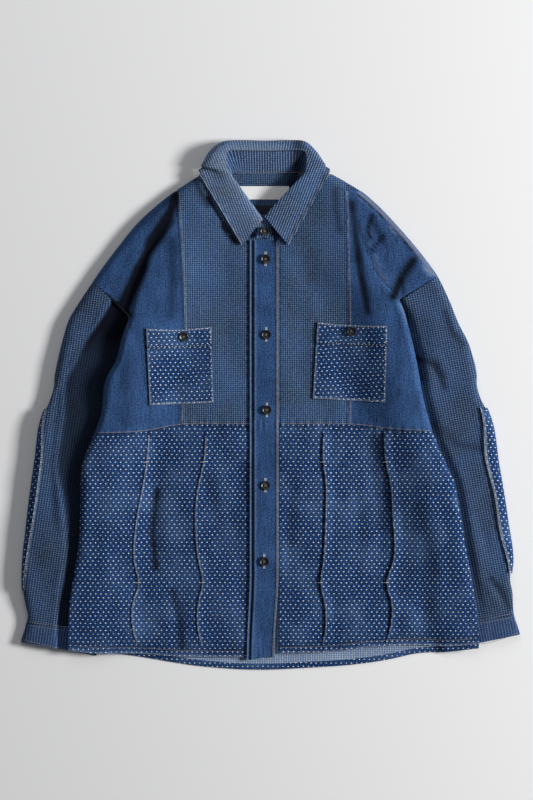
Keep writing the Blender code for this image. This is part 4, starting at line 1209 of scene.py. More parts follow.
@dataclass
class ClothPiece:
    """One piece of cloth, a closed wall between the grid of its outer face and that of its inner face.

    weave is the place of each point on the flat cloth, flat and area are the cut's size in metres, wrap joins
    the last column to the first, and other_finish shows on the rows that other_rows picks.
    """

    node: str
    finish: Finish
    outer: Array
    inner: Array
    weave: Array
    flat: tuple[float, float]
    area: float
    rests_on: tuple[str, ...]
    wrap: bool = False
    # Pale of rubbed cloth, painted highlights and painted shade at each point, which the material mixes into
    # the colour
    wear_and_painted_light: Array | None = None
    other_finish: Finish | None = None
    other_rows: Callable[[Array, Array], Array] | None = None

    def build(self, wardrobe: Wardrobe) -> bpy.types.Object:
        """Args:
            wardrobe: Where materials are kept.

        Returns:
            The object.
        """
        rows, columns = self.outer.shape[:2]
        count = rows * columns
        points = np.concatenate([self.outer.reshape(-1, 3), self.inner.reshape(-1, 3)]) * MM
        index = np.arange(count).reshape(rows, columns)
        if self.wrap:
            index = np.concatenate([index, index[:, :1]], axis=1)
        corners = [index[:-1, :-1], index[:-1, 1:], index[1:, 1:], index[1:, :-1]]
        face = np.stack(corners, -1).reshape(-1, 4)
        faces = [face, face[:, ::-1] + count]
        if self.wrap:
            rims = [(index[0, :-1], index[0, 1:]), (index[-1, :-1], index[-1, 1:])]
        else:
            ring = np.concatenate([index[0], index[1:, -1], index[-1, -2::-1], index[-2:0:-1, 0]])
            rims = [(ring, np.roll(ring, -1))]
        for first, second in rims:
            faces.append(np.stack([first, second, second + count, first + count], -1))
        mesh = bpy.data.meshes.new(self.node)
        mesh.from_pydata(points.tolist(), [], np.concatenate(faces).tolist())
        shape = bmesh.new()
        shape.from_mesh(mesh)
        bmesh.ops.recalc_face_normals(shape, faces=shape.faces)
        shape.to_mesh(mesh)
        shape.free()
        weave = np.concatenate([self.weave.reshape(-1, 2)] * 2) * MM
        corner = np.empty(len(mesh.loops), np.int32)
        mesh.loops.foreach_get("vertex_index", corner)
        mesh.uv_layers.new(name="cloth").data.foreach_set("uv", weave[corner].ravel().astype(np.float32))
        if self.wear_and_painted_light is not None:
            worn = np.concatenate([(self.wear_and_painted_light + 0.0 * self.outer[:, :, 0]).ravel()] * 2).astype(np.float32)
            mesh.attributes.new("wear_and_painted_light", "FLOAT", "POINT").data.foreach_set("value", worn)
        mesh.materials.append(wardrobe.material(self.finish))
        if self.other_finish is not None:
            mesh.materials.append(wardrobe.material(self.other_finish))
            middle = points[np.concatenate(faces)].mean(axis=1) / MM
            other = self.other_rows(middle[:, 0], middle[:, 1]).astype(np.int32)
            mesh.polygons.foreach_set("material_index", other)
        mesh.shade_smooth()
        mesh.set_sharp_from_angle(angle=math.radians(55))
        piece = place_piece("cloth_" + self.node, mesh, self.finish.slot, self.node)
        LOG.info("%s: %d triangles", piece.name, 2 * len(mesh.polygons))
        return piece


def place_piece(name: str, mesh: bpy.types.Mesh, slot: str, *nodes: str) -> bpy.types.Object:
    """Links a piece, attaches it to the root body and hides the solids that it replaces.

    Args:
        name: The piece's name.
        mesh: Its mesh.
        slot: Not used.
        nodes: The solids that it replaces.

    Returns:
        The object.
    """
    piece = bpy.data.objects.new(name, mesh)
    bpy.context.scene.collection.objects.link(piece)
    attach(piece, "root")
    if nodes:
        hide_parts(*nodes)
    return piece


def wall_below(outer: Array, thickness: float) -> Array:
    """The lower face of a wall whose outer face looks up, kept as thick on a slope as on the flat.

    Args:
        outer: The grid of the outer face.
        thickness: The wall's thickness.

    Returns:
        The grid of the lower face.
    """
    normal = np.cross(np.gradient(outer, axis=1), np.gradient(outer, axis=0))
    normal /= np.linalg.norm(normal, axis=2, keepdims=True)
    under = outer.copy()
    under[:, :, 2] -= thickness * np.minimum(1.0 / np.maximum(np.abs(normal[:, :, 2]), 0.1), 1.6)
    under[:, :, 2] = np.maximum(under[:, :, 2], FLOOR_CLEAR)
    return under


def turned(x: Array, y: Array, angle: float) -> Array:
    """Returns: plan places in the directions of a weave that is turned by an angle in degrees."""
    cos, sin = math.cos(math.radians(angle)), math.sin(math.radians(angle))
    return np.stack([x * cos + y * sin, y * cos - x * sin], -1)


@dataclass(frozen=True)
class Panel:
    """The plan of a panel: its columns follow guides, its rows run from its top line to its bottom line."""

    half: Half
    guides: tuple
    splits: tuple
    rows: int
    top: Guide
    bottom: Guide

    def plan(self) -> tuple[Array, Array]:
        """Returns: the distances outward and the places along, as two grids."""
        spans = [(k, j / count) for k, count in enumerate(self.splits) for j in range(count)]
        spans.append((len(self.splits) - 1, 1.0))
        guide = np.array([k for k, _ in spans])
        part = np.array([share for _, share in spans])
        down = np.linspace(0.0, 1.0, self.rows + 1)[:, None]
        head = self.top(np.zeros(1))[0]
        foot = self.bottom(np.full(1, float(self.half.body_edge(-40.0)) * 0.6))[0]
        y = (head * (1 - down) + foot * down) * np.ones((1, len(spans)))
        x = y
        for _ in range(6):
            lines = np.stack([line(y) + 0.0 * y for line in self.guides])
            pick = guide[None, None, :] + np.zeros((1, *y.shape), int)
            first, second = (np.take_along_axis(lines, pick + more, 0)[0] for more in (0, 1))
            x = first * (1 - part) + second * part
            y = self.top(x) * (1 - down) + self.bottom(x) * down
        return x, y


def moved(line: Guide, by: float) -> Guide:
    """Returns: a line moved sideways."""
    return lambda y: line(y) + by


def level(y: float) -> Guide:
    """Returns: a line at one place."""
    return lambda x: y + 0.0 * x


@dataclass(frozen=True)
class Fronts:
    """The fronts of one half: inner front, outer front and skirt, with their flat sizes in metres."""

    half: Half
    outer_flat: tuple[float, float] = (0.165, 0.375)
    outer_area: float = 0.0365
    inner_flat: tuple[float, float] = (0.15, 0.39)
    skirt_flat: tuple[float, float] = (0.32, 0.36)

    def raised(self, plan: tuple[Array, Array]) -> Array:
        """Returns: the outer face over a plan."""
        x, y = plan
        return self.half.points(x, y, front_surface(self.half, x, y))

    def piece(
        self, node: str, finish: Finish, panel: Panel, flat: tuple[float, float], area: float
    ) -> ClothPiece:
        """Makes the piece of cloth of a panel, its weave running straight down the jacket.

        Args:
            node: The solid's name without its side.
            finish: The cloth.
            panel: The plan.
            flat: The flat width and length in metres.
            area: The flat area in square metres.

        Returns:
            The piece.
        """
        outer = self.raised(panel.plan())
        below = ("cloth_back_upper", "cloth_back_skirt", f"cloth_sleeve_{self.half.name}")
        return ClothPiece(
            f"{node}_{self.half.name}", finish, outer, wall_below(outer, FRONT_WALL), outer[:, :, :2].copy(),
            flat, area, below, wear_and_painted_light=front_painted_light_and_wear(outer[:, :, 0], outer[:, :, 1]),
        )

    def pieces(self) -> list[ClothPiece]:
        """Returns: the three pieces of this half's front."""
        half = self.half
        foot = moved(half.waist, SEAM_GAP / 2)
        head = moved(half.waist, -SEAM_GAP / 2)

        def limit(y: Array) -> Array:
            """Returns: the outer edge of the body's cloth, a little inside it on the shoulder."""
            return half.limit(y) - np.where(y < half.pit[1], 0.0, 0.15)

        def foot_of_fold(y: Array) -> Array:
            """Returns: the line at the side where the fold starts to turn under."""
            return np.minimum(half.body_edge(y) + 0.5, limit(y) - 0.12 * (limit(y) - half.seam(y)))

        def top_of_fold(y: Array) -> Array:
            """Returns: a line beside the fold, where the columns become narrow."""
            share = half.seam(y) + 0.6 * (foot_of_fold(y) - half.seam(y))
            return np.maximum(foot_of_fold(y) - 9.0, share)

        def middle(y: Array) -> Array:
            """Returns: the inner edge of the front, along the neck and then down the placket."""
            return np.where(y > half.neck.at[0], half.neck(y), half.centre_x)

        def seam(y: Array) -> Array:
            """Returns: the inner front's outer edge, which ends at the shoulder's silhouette."""
            return np.minimum(half.seam(y) - SEAM_GAP / 2, half.outline(y) - 0.4)

        chest = Panel(
            half, (moved(half.seam, SEAM_GAP / 2), top_of_fold, foot_of_fold, limit), (36, 8, 14), 170,
            level(321.0), foot,
        )
        inner = Panel(half, (middle, seam), (66,), 190, level(346.0), foot)
        near, far = (-TUCK_STEP, TUCK_SLOPE) if half.side is Side.RIGHT else (-TUCK_SLOPE, TUCK_STEP)
        guides = [level(half.centre_x)]
        for tuck in half.tucks:
            guides += [moved(tuck, near), moved(tuck, TUCK_CREST * half.sign), moved(tuck, far)]
        guides += [moved(half.body_edge, -9.0), half.body_edge]
        across = (5, 9)[:: half.sign]
        splits = (40, *across, 36, *across, 30, 8)
        skirt = Panel(half, tuple(guides), splits, 150, head, half.front_hem)
        return [
            self.piece("front_outer", DENIM, chest, self.outer_flat, self.outer_area),
            self.piece("front_inner", CHECK, inner, self.inner_flat, half.areas["front_inner"]),
            self.piece("skirt", DOTTED, skirt, self.skirt_flat, half.areas["skirt"]),
        ]


@dataclass(frozen=True)
class Back:
    """The back: a checked upper piece and a dotted skirt whose hem is turned up."""

    waist_y: float = -38.0
    upper_flat: tuple[float, float] = (0.54, 0.39)
    upper_area: float = 0.167
    skirt_flat: tuple[float, float] = (0.615, 0.36)
    skirt_area: float = 0.200

    def surface(self, x: Array, y: Array) -> Array:
        """Returns: the inner face of the back at places of the whole plan."""
        left, right = LEFT.back_top(-x, y), RIGHT.back_top(x, y)
        neck = smooth(y, 250.0, 275.0) * smooth(y, 345.0, 330.0)
        return np.where(x < 0, left, right) + 0.5 * unevenness(x, y) * neck * smooth(np.abs(x), 60.0, 40.0)

    def grid(self, rows: int, top: Guide, foot: Guide) -> Array:
        """Returns: the inner face as a grid between two lines."""

        def beside(half: Half, inside: float, share: float) -> Guide:
            """Returns: a guide that keeps a distance inside the sleeve's tucked edge."""
            return lambda y: half.sign * np.minimum(half.tucked_edge(y) - inside, half.limit(y) * share)

        guides = (
            lambda y: -(LEFT.limit(y) - 0.6), beside(LEFT, 4.0, 0.9), beside(LEFT, BACK_RAMP + 1.0, 0.75),
            beside(RIGHT, BACK_RAMP + 1.0, 0.75), beside(RIGHT, 4.0, 0.9), lambda y: RIGHT.limit(y) - 0.6,
        )
        x, y = Panel(RIGHT, guides, (16, 8, 60, 8, 16), rows, top, foot).plan()
        return np.stack([x, y, self.surface(x, y)], -1)

    def pieces(self) -> list[ClothPiece]:
        """Returns: the two pieces of the back."""
        upper = self.grid(96, level(COLLAR_SEAM_Y), level(self.waist_y))
        skirt = self.grid(120, level(self.waist_y - SEAM_GAP), BACK_HEM)
        from_hem = skirt[:, :, 1] - BACK_HEM(skirt[:, :, 0])
        skirt[:, :, 2] += 0.9 * (1.0 - smooth(from_hem, 8.6, 10.4)) * smooth(from_hem, 0.0, 1.5)
        skirt[:, :, 2] += 0.3 * np.sin(skirt[:, :, 0] / 1.5) * np.exp(-(((from_hem - 9.0) / 5.0) ** 2))

        def above_hem(x: Array, y: Array) -> Array:
            """Returns: whether a place lies above the turned hem, where the wrong side shows."""
            return y > BACK_HEM(x) + 9.2

        made = []
        for node, grid, finish, flat, area in (
            ("back_upper", upper, CHECK, self.upper_flat, self.upper_area),
            ("back_skirt", skirt, DOTTED, self.skirt_flat, self.skirt_area),
        ):
            # The neck's painted shadow on the back
            wear_and_painted_light = np.clip(NECK_SHADE.amount(grid[:, :, 0], grid[:, :, 1]), -1.0, 1.0)
            made.append(ClothPiece(
                node, finish, grid, wall_below(grid, BACK_WALL), grid[:, :, :2].copy(), flat, area,
                ("pale_surface",), wear_and_painted_light=wear_and_painted_light,
            ))
        made[1].other_finish = WRONG_SIDE
        made[1].other_rows = above_hem
        return made


@dataclass(frozen=True)
class Sleeve:
    """One sleeve with its cuff and its elbow patch, the first two measured all round."""

    half: Half
    flat: tuple[float, float] = (0.31, 0.52)
    cuff_flat: tuple[float, float] = (0.25, 0.034)
    patch_flat: tuple[float, float] = (0.085, 0.276)
    patch_area: float = 0.0228

    def weave(self, outer: Array) -> Array:
        """Returns: the places of the outer rings on cloth that runs straight down the sleeve."""
        half = self.half
        middle = np.array(((half.tip[0] + half.pit[0]) / 2, (half.tip[1] + half.pit[1]) / 2))
        foot = np.array(((half.outline(-325.0) + half.tucked_edge(-325.0)) / 2, -325.0))
        down = foot - middle
        angle = half.sign * math.degrees(math.atan2(down[0], -down[1]))
        return turned(outer[:, :, 0], outer[:, :, 1], angle)

    def tube(self, outer_y: Array, inner_y: Array, clear: Array, patched: Array, reach: Array) -> tuple:
        """Rings of the flattened tube, row by row.

        Args:
            outer_y: Where each ring starts, on the outer fold.
            inner_y: Where each ring ends, on the tucked edge.
            clear: How far the tucked edge is moved outward.
            patched: How much of the elbow patch lies round each ring, from 0 to 1.
            reach: The x of each ring's start.

        Returns:
            The outer and the inner rings.
        """
        half = self.half
        start = np.stack([reach, outer_y], -1)
        end = np.stack([half.tucked_edge(inner_y) + clear, inner_y], -1)
        length = np.linalg.norm(end - start, axis=1)
        unit = (end - start) / length[:, None]
        inset = patched * (CLOTH + LAY + 0.9)
        near_fold = np.array([0.4, 1.0, 2.0, 3.4, 5.2, 7.5, 10.2, 13.2, 16.5])
        rest = np.linspace(0.0, 1.0, 30)[1:]
        loops = []
        for shrink in (0.0, SLEEVE_WALL):
            near, far = inset + shrink, length - shrink
            flat = near[:, None] + near_fold[None, :]
            onward = flat[:, -1:] + (far - 1.2 - flat[:, -1])[:, None] * rest[None, :]
            distance = np.concatenate([flat, onward], axis=1)
            x = start[:, :1] + unit[:, :1] * distance
            y = start[:, 1:] + unit[:, 1:] * distance
            top = sleeve_surface(half, x, y) - shrink
            under = (patched * (CLOTH + LAY))[:, None] * smooth(distance, 96.0, 74.0)
            ground = under + shrink + FLOOR_CLEAR
            top = np.maximum(top, ground + 0.4)
            above = half.points(x, y, top)
            below = half.points(x, y, ground)[:, ::-1]
            ends = []
            for past, z in ((near, ground[:, 0] * 0.5 + EDGE_HEIGHT * 0.5), (far, EDGE_HEIGHT * 0.5)):
                east, north = start[:, 0] + unit[:, 0] * past, start[:, 1] + unit[:, 1] * past
                ends.append(half.points(east, north, z + 0.0 * east)[:, None, :])
            loops.append(np.concatenate([ends[0], above, ends[1], below], axis=1))
        return loops[0], loops[1]

    def pieces(self) -> list[ClothPiece]:
        """Returns: sleeve, cuff and elbow patch."""
        half = self.half
        share = np.linspace(0.0, 1.0, 150)
        outer_y = half.tip[1] - 0.3 + (half.cuff_y[0] + 0.5 - half.tip[1]) * share
        inner_y = half.pit[1] - 0.3 + (half.cuff_y[1] + 0.5 - half.pit[1]) * share
        top_patch, foot_patch = half.patch_y
        patched = smooth(outer_y, top_patch + 52, top_patch + 34)
        patched = patched * smooth(outer_y, foot_patch - 52, foot_patch - 34)
        clear = 3.0 * smooth(share, 0.02, 0.0) - 9.0 * smooth(share, 0.0, 0.03) * smooth(share, 0.5, 0.35)
        outer, inner = self.tube(outer_y, inner_y, clear, patched, half.outline(outer_y) - 0.2)
        sleeve = ClothPiece(
            f"sleeve_{half.name}", SLEEVE_CHECK, outer, inner, self.weave(outer), self.flat,
            half.areas["sleeve"], ("pale_surface",), wrap=True, wear_and_painted_light=sleeve_painted_shade(half, outer),
        )
        return [sleeve, self.cuff(), self.patch()]

    def cuff(self) -> ClothPiece:
        """Returns: the doubled band at the sleeve's end, with a stitched edge."""
        half = self.half
        foot = Line(*half.cuff_foot, along=Along.X)
        share = np.linspace(0.0, 1.0, 14)
        out_x, out_foot = half.cuff_foot[0]
        in_foot = float(foot(half.cuff_foot[-1][0]))
        outer_y = half.cuff_y[0] - 0.4 + (out_foot - half.cuff_y[0] + 0.4) * share
        inner_y = half.cuff_y[1] - 0.4 + (in_foot - half.cuff_y[1] + 0.4) * share
        reach = np.minimum(half.outline(outer_y), out_x)
        none = np.zeros_like(share)
        outer, inner = self.tube(outer_y, inner_y, none, none, reach)
        return ClothPiece(
            f"cuff_{half.name}", CUFF_CHECK, outer, inner, self.weave(outer), self.cuff_flat,
            half.areas["cuff"], ("pale_surface",), wrap=True,
        )

    def patch(self) -> ClothPiece:
        """Returns: the dotted patch that wraps the sleeve's outer fold."""
        half = self.half
        y = np.linspace(half.patch_y[0], half.patch_y[1], 84)
        out, width = half.outline(y), half.patch_width(y)
        same = 0.0 * y
        columns = []
        for share in np.linspace(1.0, 0.0, 7):
            distance = 2.4 + (width - 0.4) * share
            ripple = 0.3 * np.sin(y / 2.6 + 3.0 * share) * share
            z = sleeve_surface(half, out - distance, y) + LAY + CLOTH + 0.5 + ripple
            columns.append((out - distance, z, out - distance, z - FRONT_WALL, -distance))
        middle = sleeve_surface(half, out - 0.8, y) * 0.5 + EDGE_HEIGHT * 0.5 + 0.8
        columns.append((out - 0.5, middle, out - 1.6, middle - 0.5, -0.5 + same))
        fold = EDGE_HEIGHT * 0.62 + same
        columns.append((out, fold, out - FRONT_WALL, fold, 1.0 + same))
        for distance in (2.4, 10.0, 24.0, 40.0, 55.0, 68.0):
            x, floor = out - distance, FLOOR_CLEAR + same
            columns.append((x, floor, x, floor + FRONT_WALL, distance + same))
        outer = np.stack([half.points(x, y, z) for x, z, _, _, _ in columns], axis=1)
        inner = np.stack([half.points(x, y, z) for _, _, x, z, _ in columns], axis=1)
        weave = np.stack([np.stack([part * half.sign, y], -1) for _, _, _, _, part in columns], axis=1)
        wear_and_painted_light = np.zeros(outer.shape[:2])
        wear_and_painted_light[:, 0], wear_and_painted_light[:, 1] = 0.8, 0.3
        return ClothPiece(
            f"elbow_patch_{half.name}", DOTTED, outer, inner, weave, self.patch_flat, self.patch_area,
            (f"cloth_sleeve_{half.name}",), wear_and_painted_light=wear_and_painted_light,
        )


def refined(grid: Array, times: int, axis: int) -> Array:
    """A smooth curve through the points of a grid along one of its axes.

    Args:
        grid: The points.
        times: How many steps each gap is cut into.
        axis: The axis to refine.

    Returns:
        The finer grid, which passes through the given points.
    """
    points = np.moveaxis(grid, axis, 0)
    before = np.concatenate([2 * points[:1] - points[1:2], points[:-1]])
    after = np.concatenate([points[1:], 2 * points[-1:] - points[-2:-1]])
    slope = (after - before) / 2
    made = []
    for i in range(len(points) - 1):
        for j in range(times):
            t = j / times
            made.append(
                points[i] * (1 + 2 * t) * (1 - t) ** 2 + points[i + 1] * t * t * (3 - 2 * t)
                + slope[i] * t * (1 - t) ** 2 - slope[i + 1] * t * t * (1 - t)
            )
    made.append(points[-1])
    return np.moveaxis(np.array(made), 0, axis)


def spread_of(grid: Array) -> Array:
    """Returns: places on a bent grid measured along its rows' middles and across from its first column."""
    along = np.linalg.norm(np.diff(grid.mean(axis=1), axis=0), axis=1)
    along = np.concatenate([[0.0], np.cumsum(along)])
    across = np.linalg.norm(np.diff(grid, axis=1), axis=2)
    across = np.concatenate([np.zeros((len(grid), 1)), np.cumsum(across, axis=1)], axis=1)
    return np.stack([along[:, None] + 0.0 * across, across], -1)


@dataclass
class Collar:
    """The collar: a stand round the neck and a fall whose leaves lie on the fronts.

    Both keep the grid of their outer face for the thread that is sewn on it.
    """

    fall_flat: tuple[float, float] = (0.55, 0.065)
    fall_area: float = 0.0205
    stand_flat: tuple[float, float] = (0.46, 0.034)
    stand_area: float = 0.0084
    fall_grid: Array | None = None
    stand_grid: Array | None = None

    def leaf_on_front(self, roll: Array, unit: Array, length: float, height: float) -> list:
        """A section of a leaf, from its roll down to the front that it lies on.

        Args:
            roll: The plan place of the roll.
            unit: The direction on the plan from the roll to the leaf's edge.
            length: The distance from the roll to the edge.
            height: The height of the roll.

        Returns:
            The section's points.
        """
        edge = roll + unit * length
        seat = float(top_of_fronts(*edge)) + LAY + DOUBLED
        row = []
        for share in (0.0, 0.1, 0.3, 0.52, 0.74, 0.9, 1.0):
            fall = 1.0 - smooth(share, 0.2, 1.15)
            z = seat + (height + 1.2 - seat) * float(fall) - (1.2 if share == 0.0 else 0.0)
            x, y = roll + unit * length * share
            near = np.array(((0, 0), (9, 0), (-9, 0), (0, 9), (0, -9), (7, -7), (-7, -7)), float)
            below = float(top_of_fronts(x + near[:, 0], y + near[:, 1]).max())
            row.append((x, y, max(z, below + LAY + DOUBLED + 0.1)))
        return row

    def fall(self) -> ClothPiece:
        """Returns: the fall."""
        outer, inner = [], []
        for roll, edge, under, height in COLLAR:
            roll, edge = np.array(roll, float), np.array(edge, float)
            length = float(np.linalg.norm(edge - roll))
            unit = (edge - roll) / length
            down = np.array((0.0, 0.0, -COLLAR_WALL))
            inwards = np.array((*(-unit * COLLAR_WALL), 0.0))
            if under == ON_FRONT:
                row = self.leaf_on_front(roll, unit, length, height)
                depths = [down] * 7
            else:
                row = [(*roll, height), (*(roll + unit * length * 0.5), height + 0.6)]
                row.append((*(edge - unit * 5.0), height - 1.6))
                if under == DROP:
                    row += [(*edge, height * share) for share in (0.75, 0.5, 0.28, 0.07)]
                    depths = [down, down, down, inwards, inwards, inwards, inwards]
                else:
                    row.append((*edge, height * 0.45))
                    row += [(*(edge - unit * back), 0.1) for back in (5.0, (5.0 + under) * 0.55, under)]
                    depths = [down, down, down, inwards, -down, -down, -down]
            outer.append(row)
            inner.append([np.array(point) + depth for point, depth in zip(row, depths)])
        fine = [refined(refined(np.array(grid, float), 9, 0), 5, 1) for grid in (outer, inner)]
        for grid in fine:
            grid[:, :, 2] = np.maximum(grid[:, :, 2], FLOOR_CLEAR)
        self.fall_grid = fine[0]
        x, y = fine[0][:, :, 0], fine[0][:, :, 1]
        around = np.linspace(0.0, 1.0, len(fine[0]))[:, None]
        weave = fine[0][:, :, :2].copy()
        weave[:, :, 0] += 0.38 * (1.0 - 2.0 * smooth(around, 0.35, 0.65)) * (weave[:, :, 1] - 385.0)
        share = np.linspace(0.0, 1.0, fine[0].shape[1])[None, :]
        # Painted on the fall: pale at the outer edge, rubbed and painted highlight, a painted highlight on
        # the roll, painted shade just inside the edge, the right leaf painted darker than the left as it
        # faces away from the lamp, and the neck's painted shadow
        wear_and_painted_light = 0.5 * np.exp(-(((1.0 - share) / 0.04) ** 2)) + 0.18 * np.exp(-((share / 0.2) ** 2))
        wear_and_painted_light = wear_and_painted_light - 0.4 * np.exp(-(((share - 0.87) / 0.035) ** 2))
        wear_and_painted_light = wear_and_painted_light + 0.1 - 0.3 * smooth(around, 0.45, 0.7)
        wear_and_painted_light = wear_and_painted_light + 0.8 * smooth(y, 346.0, 372.0) * NECK_SHADE.amount(x, y)
        return ClothPiece(
            "collar_fall", RIBBED, fine[0], fine[1], weave, self.fall_flat, self.fall_area,
            ("cloth_front_inner_left", "cloth_front_inner_right", "cloth_back_upper"), wear_and_painted_light=wear_and_painted_light,
        )

    def stand(self) -> ClothPiece:
        """Returns: the stand, its left end under its right end at the front."""
        rows = []
        for index, (seam, roll, height) in enumerate(STAND):
            seam, roll = np.array(seam, float), np.array(roll, float)
            behind = seam[1] > COLLAR_SEAM_Y
            seat = 5.4 if behind else float(top_of_fronts(*seam)) + LAY + 0.2
            head = height - (1.0 if behind else 5.6)
            if index == 0:
                head, seat = UNDER_END_HEAD, seat - 0.2
            if index == len(STAND) - 1:
                head, seat = OVER_END_HEAD, seat + CLOTH + LAY
            shares = (0.0, 0.33, 0.67, 1.0)
            rows.append([(*(seam + (roll - seam) * share), seat + (head - seat) * share) for share in shares])
        outer = refined(refined(np.array(rows, float), 9, 0), 5, 1)
        normal = np.cross(np.gradient(outer, axis=1), np.gradient(outer, axis=0))
        normal /= np.linalg.norm(normal, axis=2, keepdims=True)
        inner = outer + normal * FRONT_WALL
        inner[:, :, 2] = np.maximum(inner[:, :, 2], FLOOR_CLEAR)
        self.stand_grid = outer
        x, y = outer[:, :, 0], outer[:, :, 1]
        # The painted shadows of the neck and of the throat
        wear_and_painted_light = np.clip(NECK_SHADE.amount(x, y) + THROAT_SHADE.amount(x, y), -1.0, 1.0)
        return ClothPiece(
            "collar_stand", RIBBED, outer, inner, spread_of(outer), self.stand_flat, self.stand_area,
            ("cloth_back_upper",), wear_and_painted_light=wear_and_painted_light,
        )


@dataclass(frozen=True)
class Pocket:
    """A dotted chest pocket whose top is a hem, sewn to the front on three sides."""

    half: Half
    flat: tuple[float, float] = (0.103, 0.121)

    def place(self, u: Array, v: Array) -> tuple[Array, Array]:
        """Returns: the distance outward and the place along of a share u across and v down."""
        outer_top, inner_top, inner_foot, outer_foot = np.array(self.half.pocket, float)
        u, v = np.asarray(u, float)[..., None], np.asarray(v, float)[..., None]
        top, foot = inner_top * (1 - u) + outer_top * u, inner_foot * (1 - u) + outer_foot * u
        both = top * (1 - v) + foot * v
        sag = self.half.pocket_sag * np.sin(math.pi * u) ** 0.7 * (1 - v) ** 3
        return both[..., 0], both[..., 1] - sag[..., 0]

    def surface(self, u: Array, v: Array) -> Array:
        """Returns: points of the outer face."""
        x, y = self.place(u, v)
        hem = 0.8 * smooth(v, self.half.pocket_hem + 0.012, self.half.pocket_hem - 0.012)
        edge = np.minimum(np.minimum(u, 1 - u), (1 - v)) * 95.0
        drawn = 0.35 * np.sin((x + y) / 1.7) * np.exp(-((edge / 5.0) ** 2))
        z = front_surface(self.half, x, y) + LAY + CLOTH - 0.1 + hem + drawn
        z = z + 0.9 * np.exp(-((v / 0.05) ** 2)) * np.sin(math.pi * u)
        return self.half.points(x, y, z)

    def piece(self) -> ClothPiece:
        """Returns: the pocket's cloth, rubbed pale at its edges, with painted shade under its hem."""
        half = self.half
        u, v = np.meshgrid(np.linspace(0, 1, 38), np.linspace(0, 1, 44))
        outer = self.surface(u, v)
        edge = np.minimum(np.minimum(u, 1 - u), np.minimum(v, 1 - v)) * 100.0
        under_hem = (v - half.pocket_hem - 0.01) / 0.016
        return ClothPiece(
            f"pocket_{half.name}", DOTTED, outer, wall_below(outer, POCKET_WALL),
            turned(outer[:, :, 0], outer[:, :, 1], half.pocket_tilt), self.flat, half.areas["pocket"],
            (f"cloth_front_inner_{half.name}", f"cloth_front_outer_{half.name}"),
            wear_and_painted_light=0.45 * np.exp(-((edge / 1.6) ** 2)) - 0.5 * np.exp(-(under_hem**2)),
        )


@dataclass(frozen=True)
class Placket:
    """The plain band of the front edge."""

    flat: tuple[float, float] = (0.044, 0.635)
    area: float = 0.027

    def piece(self) -> ClothPiece:
        """Returns: the band, pale along both edges, rubbed and painted highlight, with painted shade beside
        its free one.
        """
        y = np.linspace(PLACKET_TOP_Y, PLACKET_FOOT_Y, 250)[:, None]
        share = np.linspace(0.0, 1.0, 38)[None, :]
        free, sewn = placket_edges(y)
        x = free + (sewn - free) * share
        down = y + 7.0 * share * placket_lean(y)
        outer = np.stack([x, down, placket_surface(x, down)], -1)
        # Painted shadow under the stand's button, then pale edges of rub and painted highlight, and painted
        # shade in the groove inside each edge
        wear_and_painted_light = THROAT_SHADE.amount(x, down)
        for place, strength, width in (
            (x - free - 1.2, 0.4, 1.3), (x - free - 4.2, -1.1, 1.7), (x - free - 7.4, 0.2, 1.6),
            (x - sewn + 0.6, 0.5, 1.5), (x - sewn + 4.2, -0.3, 2.0),
        ):
            wear_and_painted_light = wear_and_painted_light + strength * np.exp(-((place / width) ** 2))
        return ClothPiece(
            "placket", DENIM, outer, wall_below(outer, PLACKET_WALL), outer[:, :, :2].copy(),
            self.flat, self.area, ("cloth_front_inner_left", "cloth_skirt_left"), wear_and_painted_light=wear_and_painted_light,
        )


# Thread, buttons and labels


class Thread:
    """Collects short stitches of one thread and joins them in one mesh."""

    def __init__(self, name: str, finish: Finish) -> None:
        """Starts a thread of a name and a finish, with no stitch."""
        self.name = name
        self.finish = finish
        self.points: list[Array] = []

    def row(self, path: Array, pitch: float = 3.4, length: float = 2.3, width: float = 0.75) -> None:
        """Adds a row of stitches along a line.

        Args:
            path: The line's points in space.
            pitch: The distance from stitch to stitch.
            length: The length of a stitch.
            width: The width of the thread.
        """
        path = np.asarray(path, float)
        step = np.linalg.norm(np.diff(path, axis=0), axis=1)
        at = np.concatenate([[0.0], np.cumsum(step)])
        marks = np.arange(pitch / 2, at[-1], pitch)
        ends = []
        for shift in (-length / 2, length / 2):
            ends.append(np.stack([np.interp(marks + shift, at, path[:, k]) for k in range(3)], -1))
        way = ends[1] - ends[0]
        side = np.stack([way[:, 1], -way[:, 0], 0.0 * way[:, 0]], -1)
        side /= np.maximum(np.linalg.norm(side, axis=1, keepdims=True), 1e-6)
        corners = []
        for end in ends:
            for over, up in ((-0.5, -0.15), (0.5, -0.15), (0.3, 0.42), (-0.3, 0.42)):
                corners.append(end + side * over * width + np.array((0.0, 0.0, up)))
        self.points.append(np.stack(corners, axis=1))

    def build(self, wardrobe: Wardrobe) -> bpy.types.Object:
        """Returns: the joined thread, as one piece."""
        boxes = np.concatenate(self.points)
        quads = np.array(((0, 1, 2, 3), (7, 6, 5, 4), (0, 4, 5, 1), (1, 5, 6, 2), (2, 6, 7, 3), (3, 7, 4, 0)))
        faces = (np.arange(len(boxes))[:, None, None] * 8 + quads[None]).reshape(-1, 4)
        mesh = bpy.data.meshes.new(self.name)
        mesh.from_pydata((boxes.reshape(-1, 3) * MM).tolist(), [], faces.tolist())
        mesh.materials.append(wardrobe.material(self.finish))
        LOG.info("%s: %d stitches", self.name, len(boxes))
        return place_piece(self.name, mesh, "")


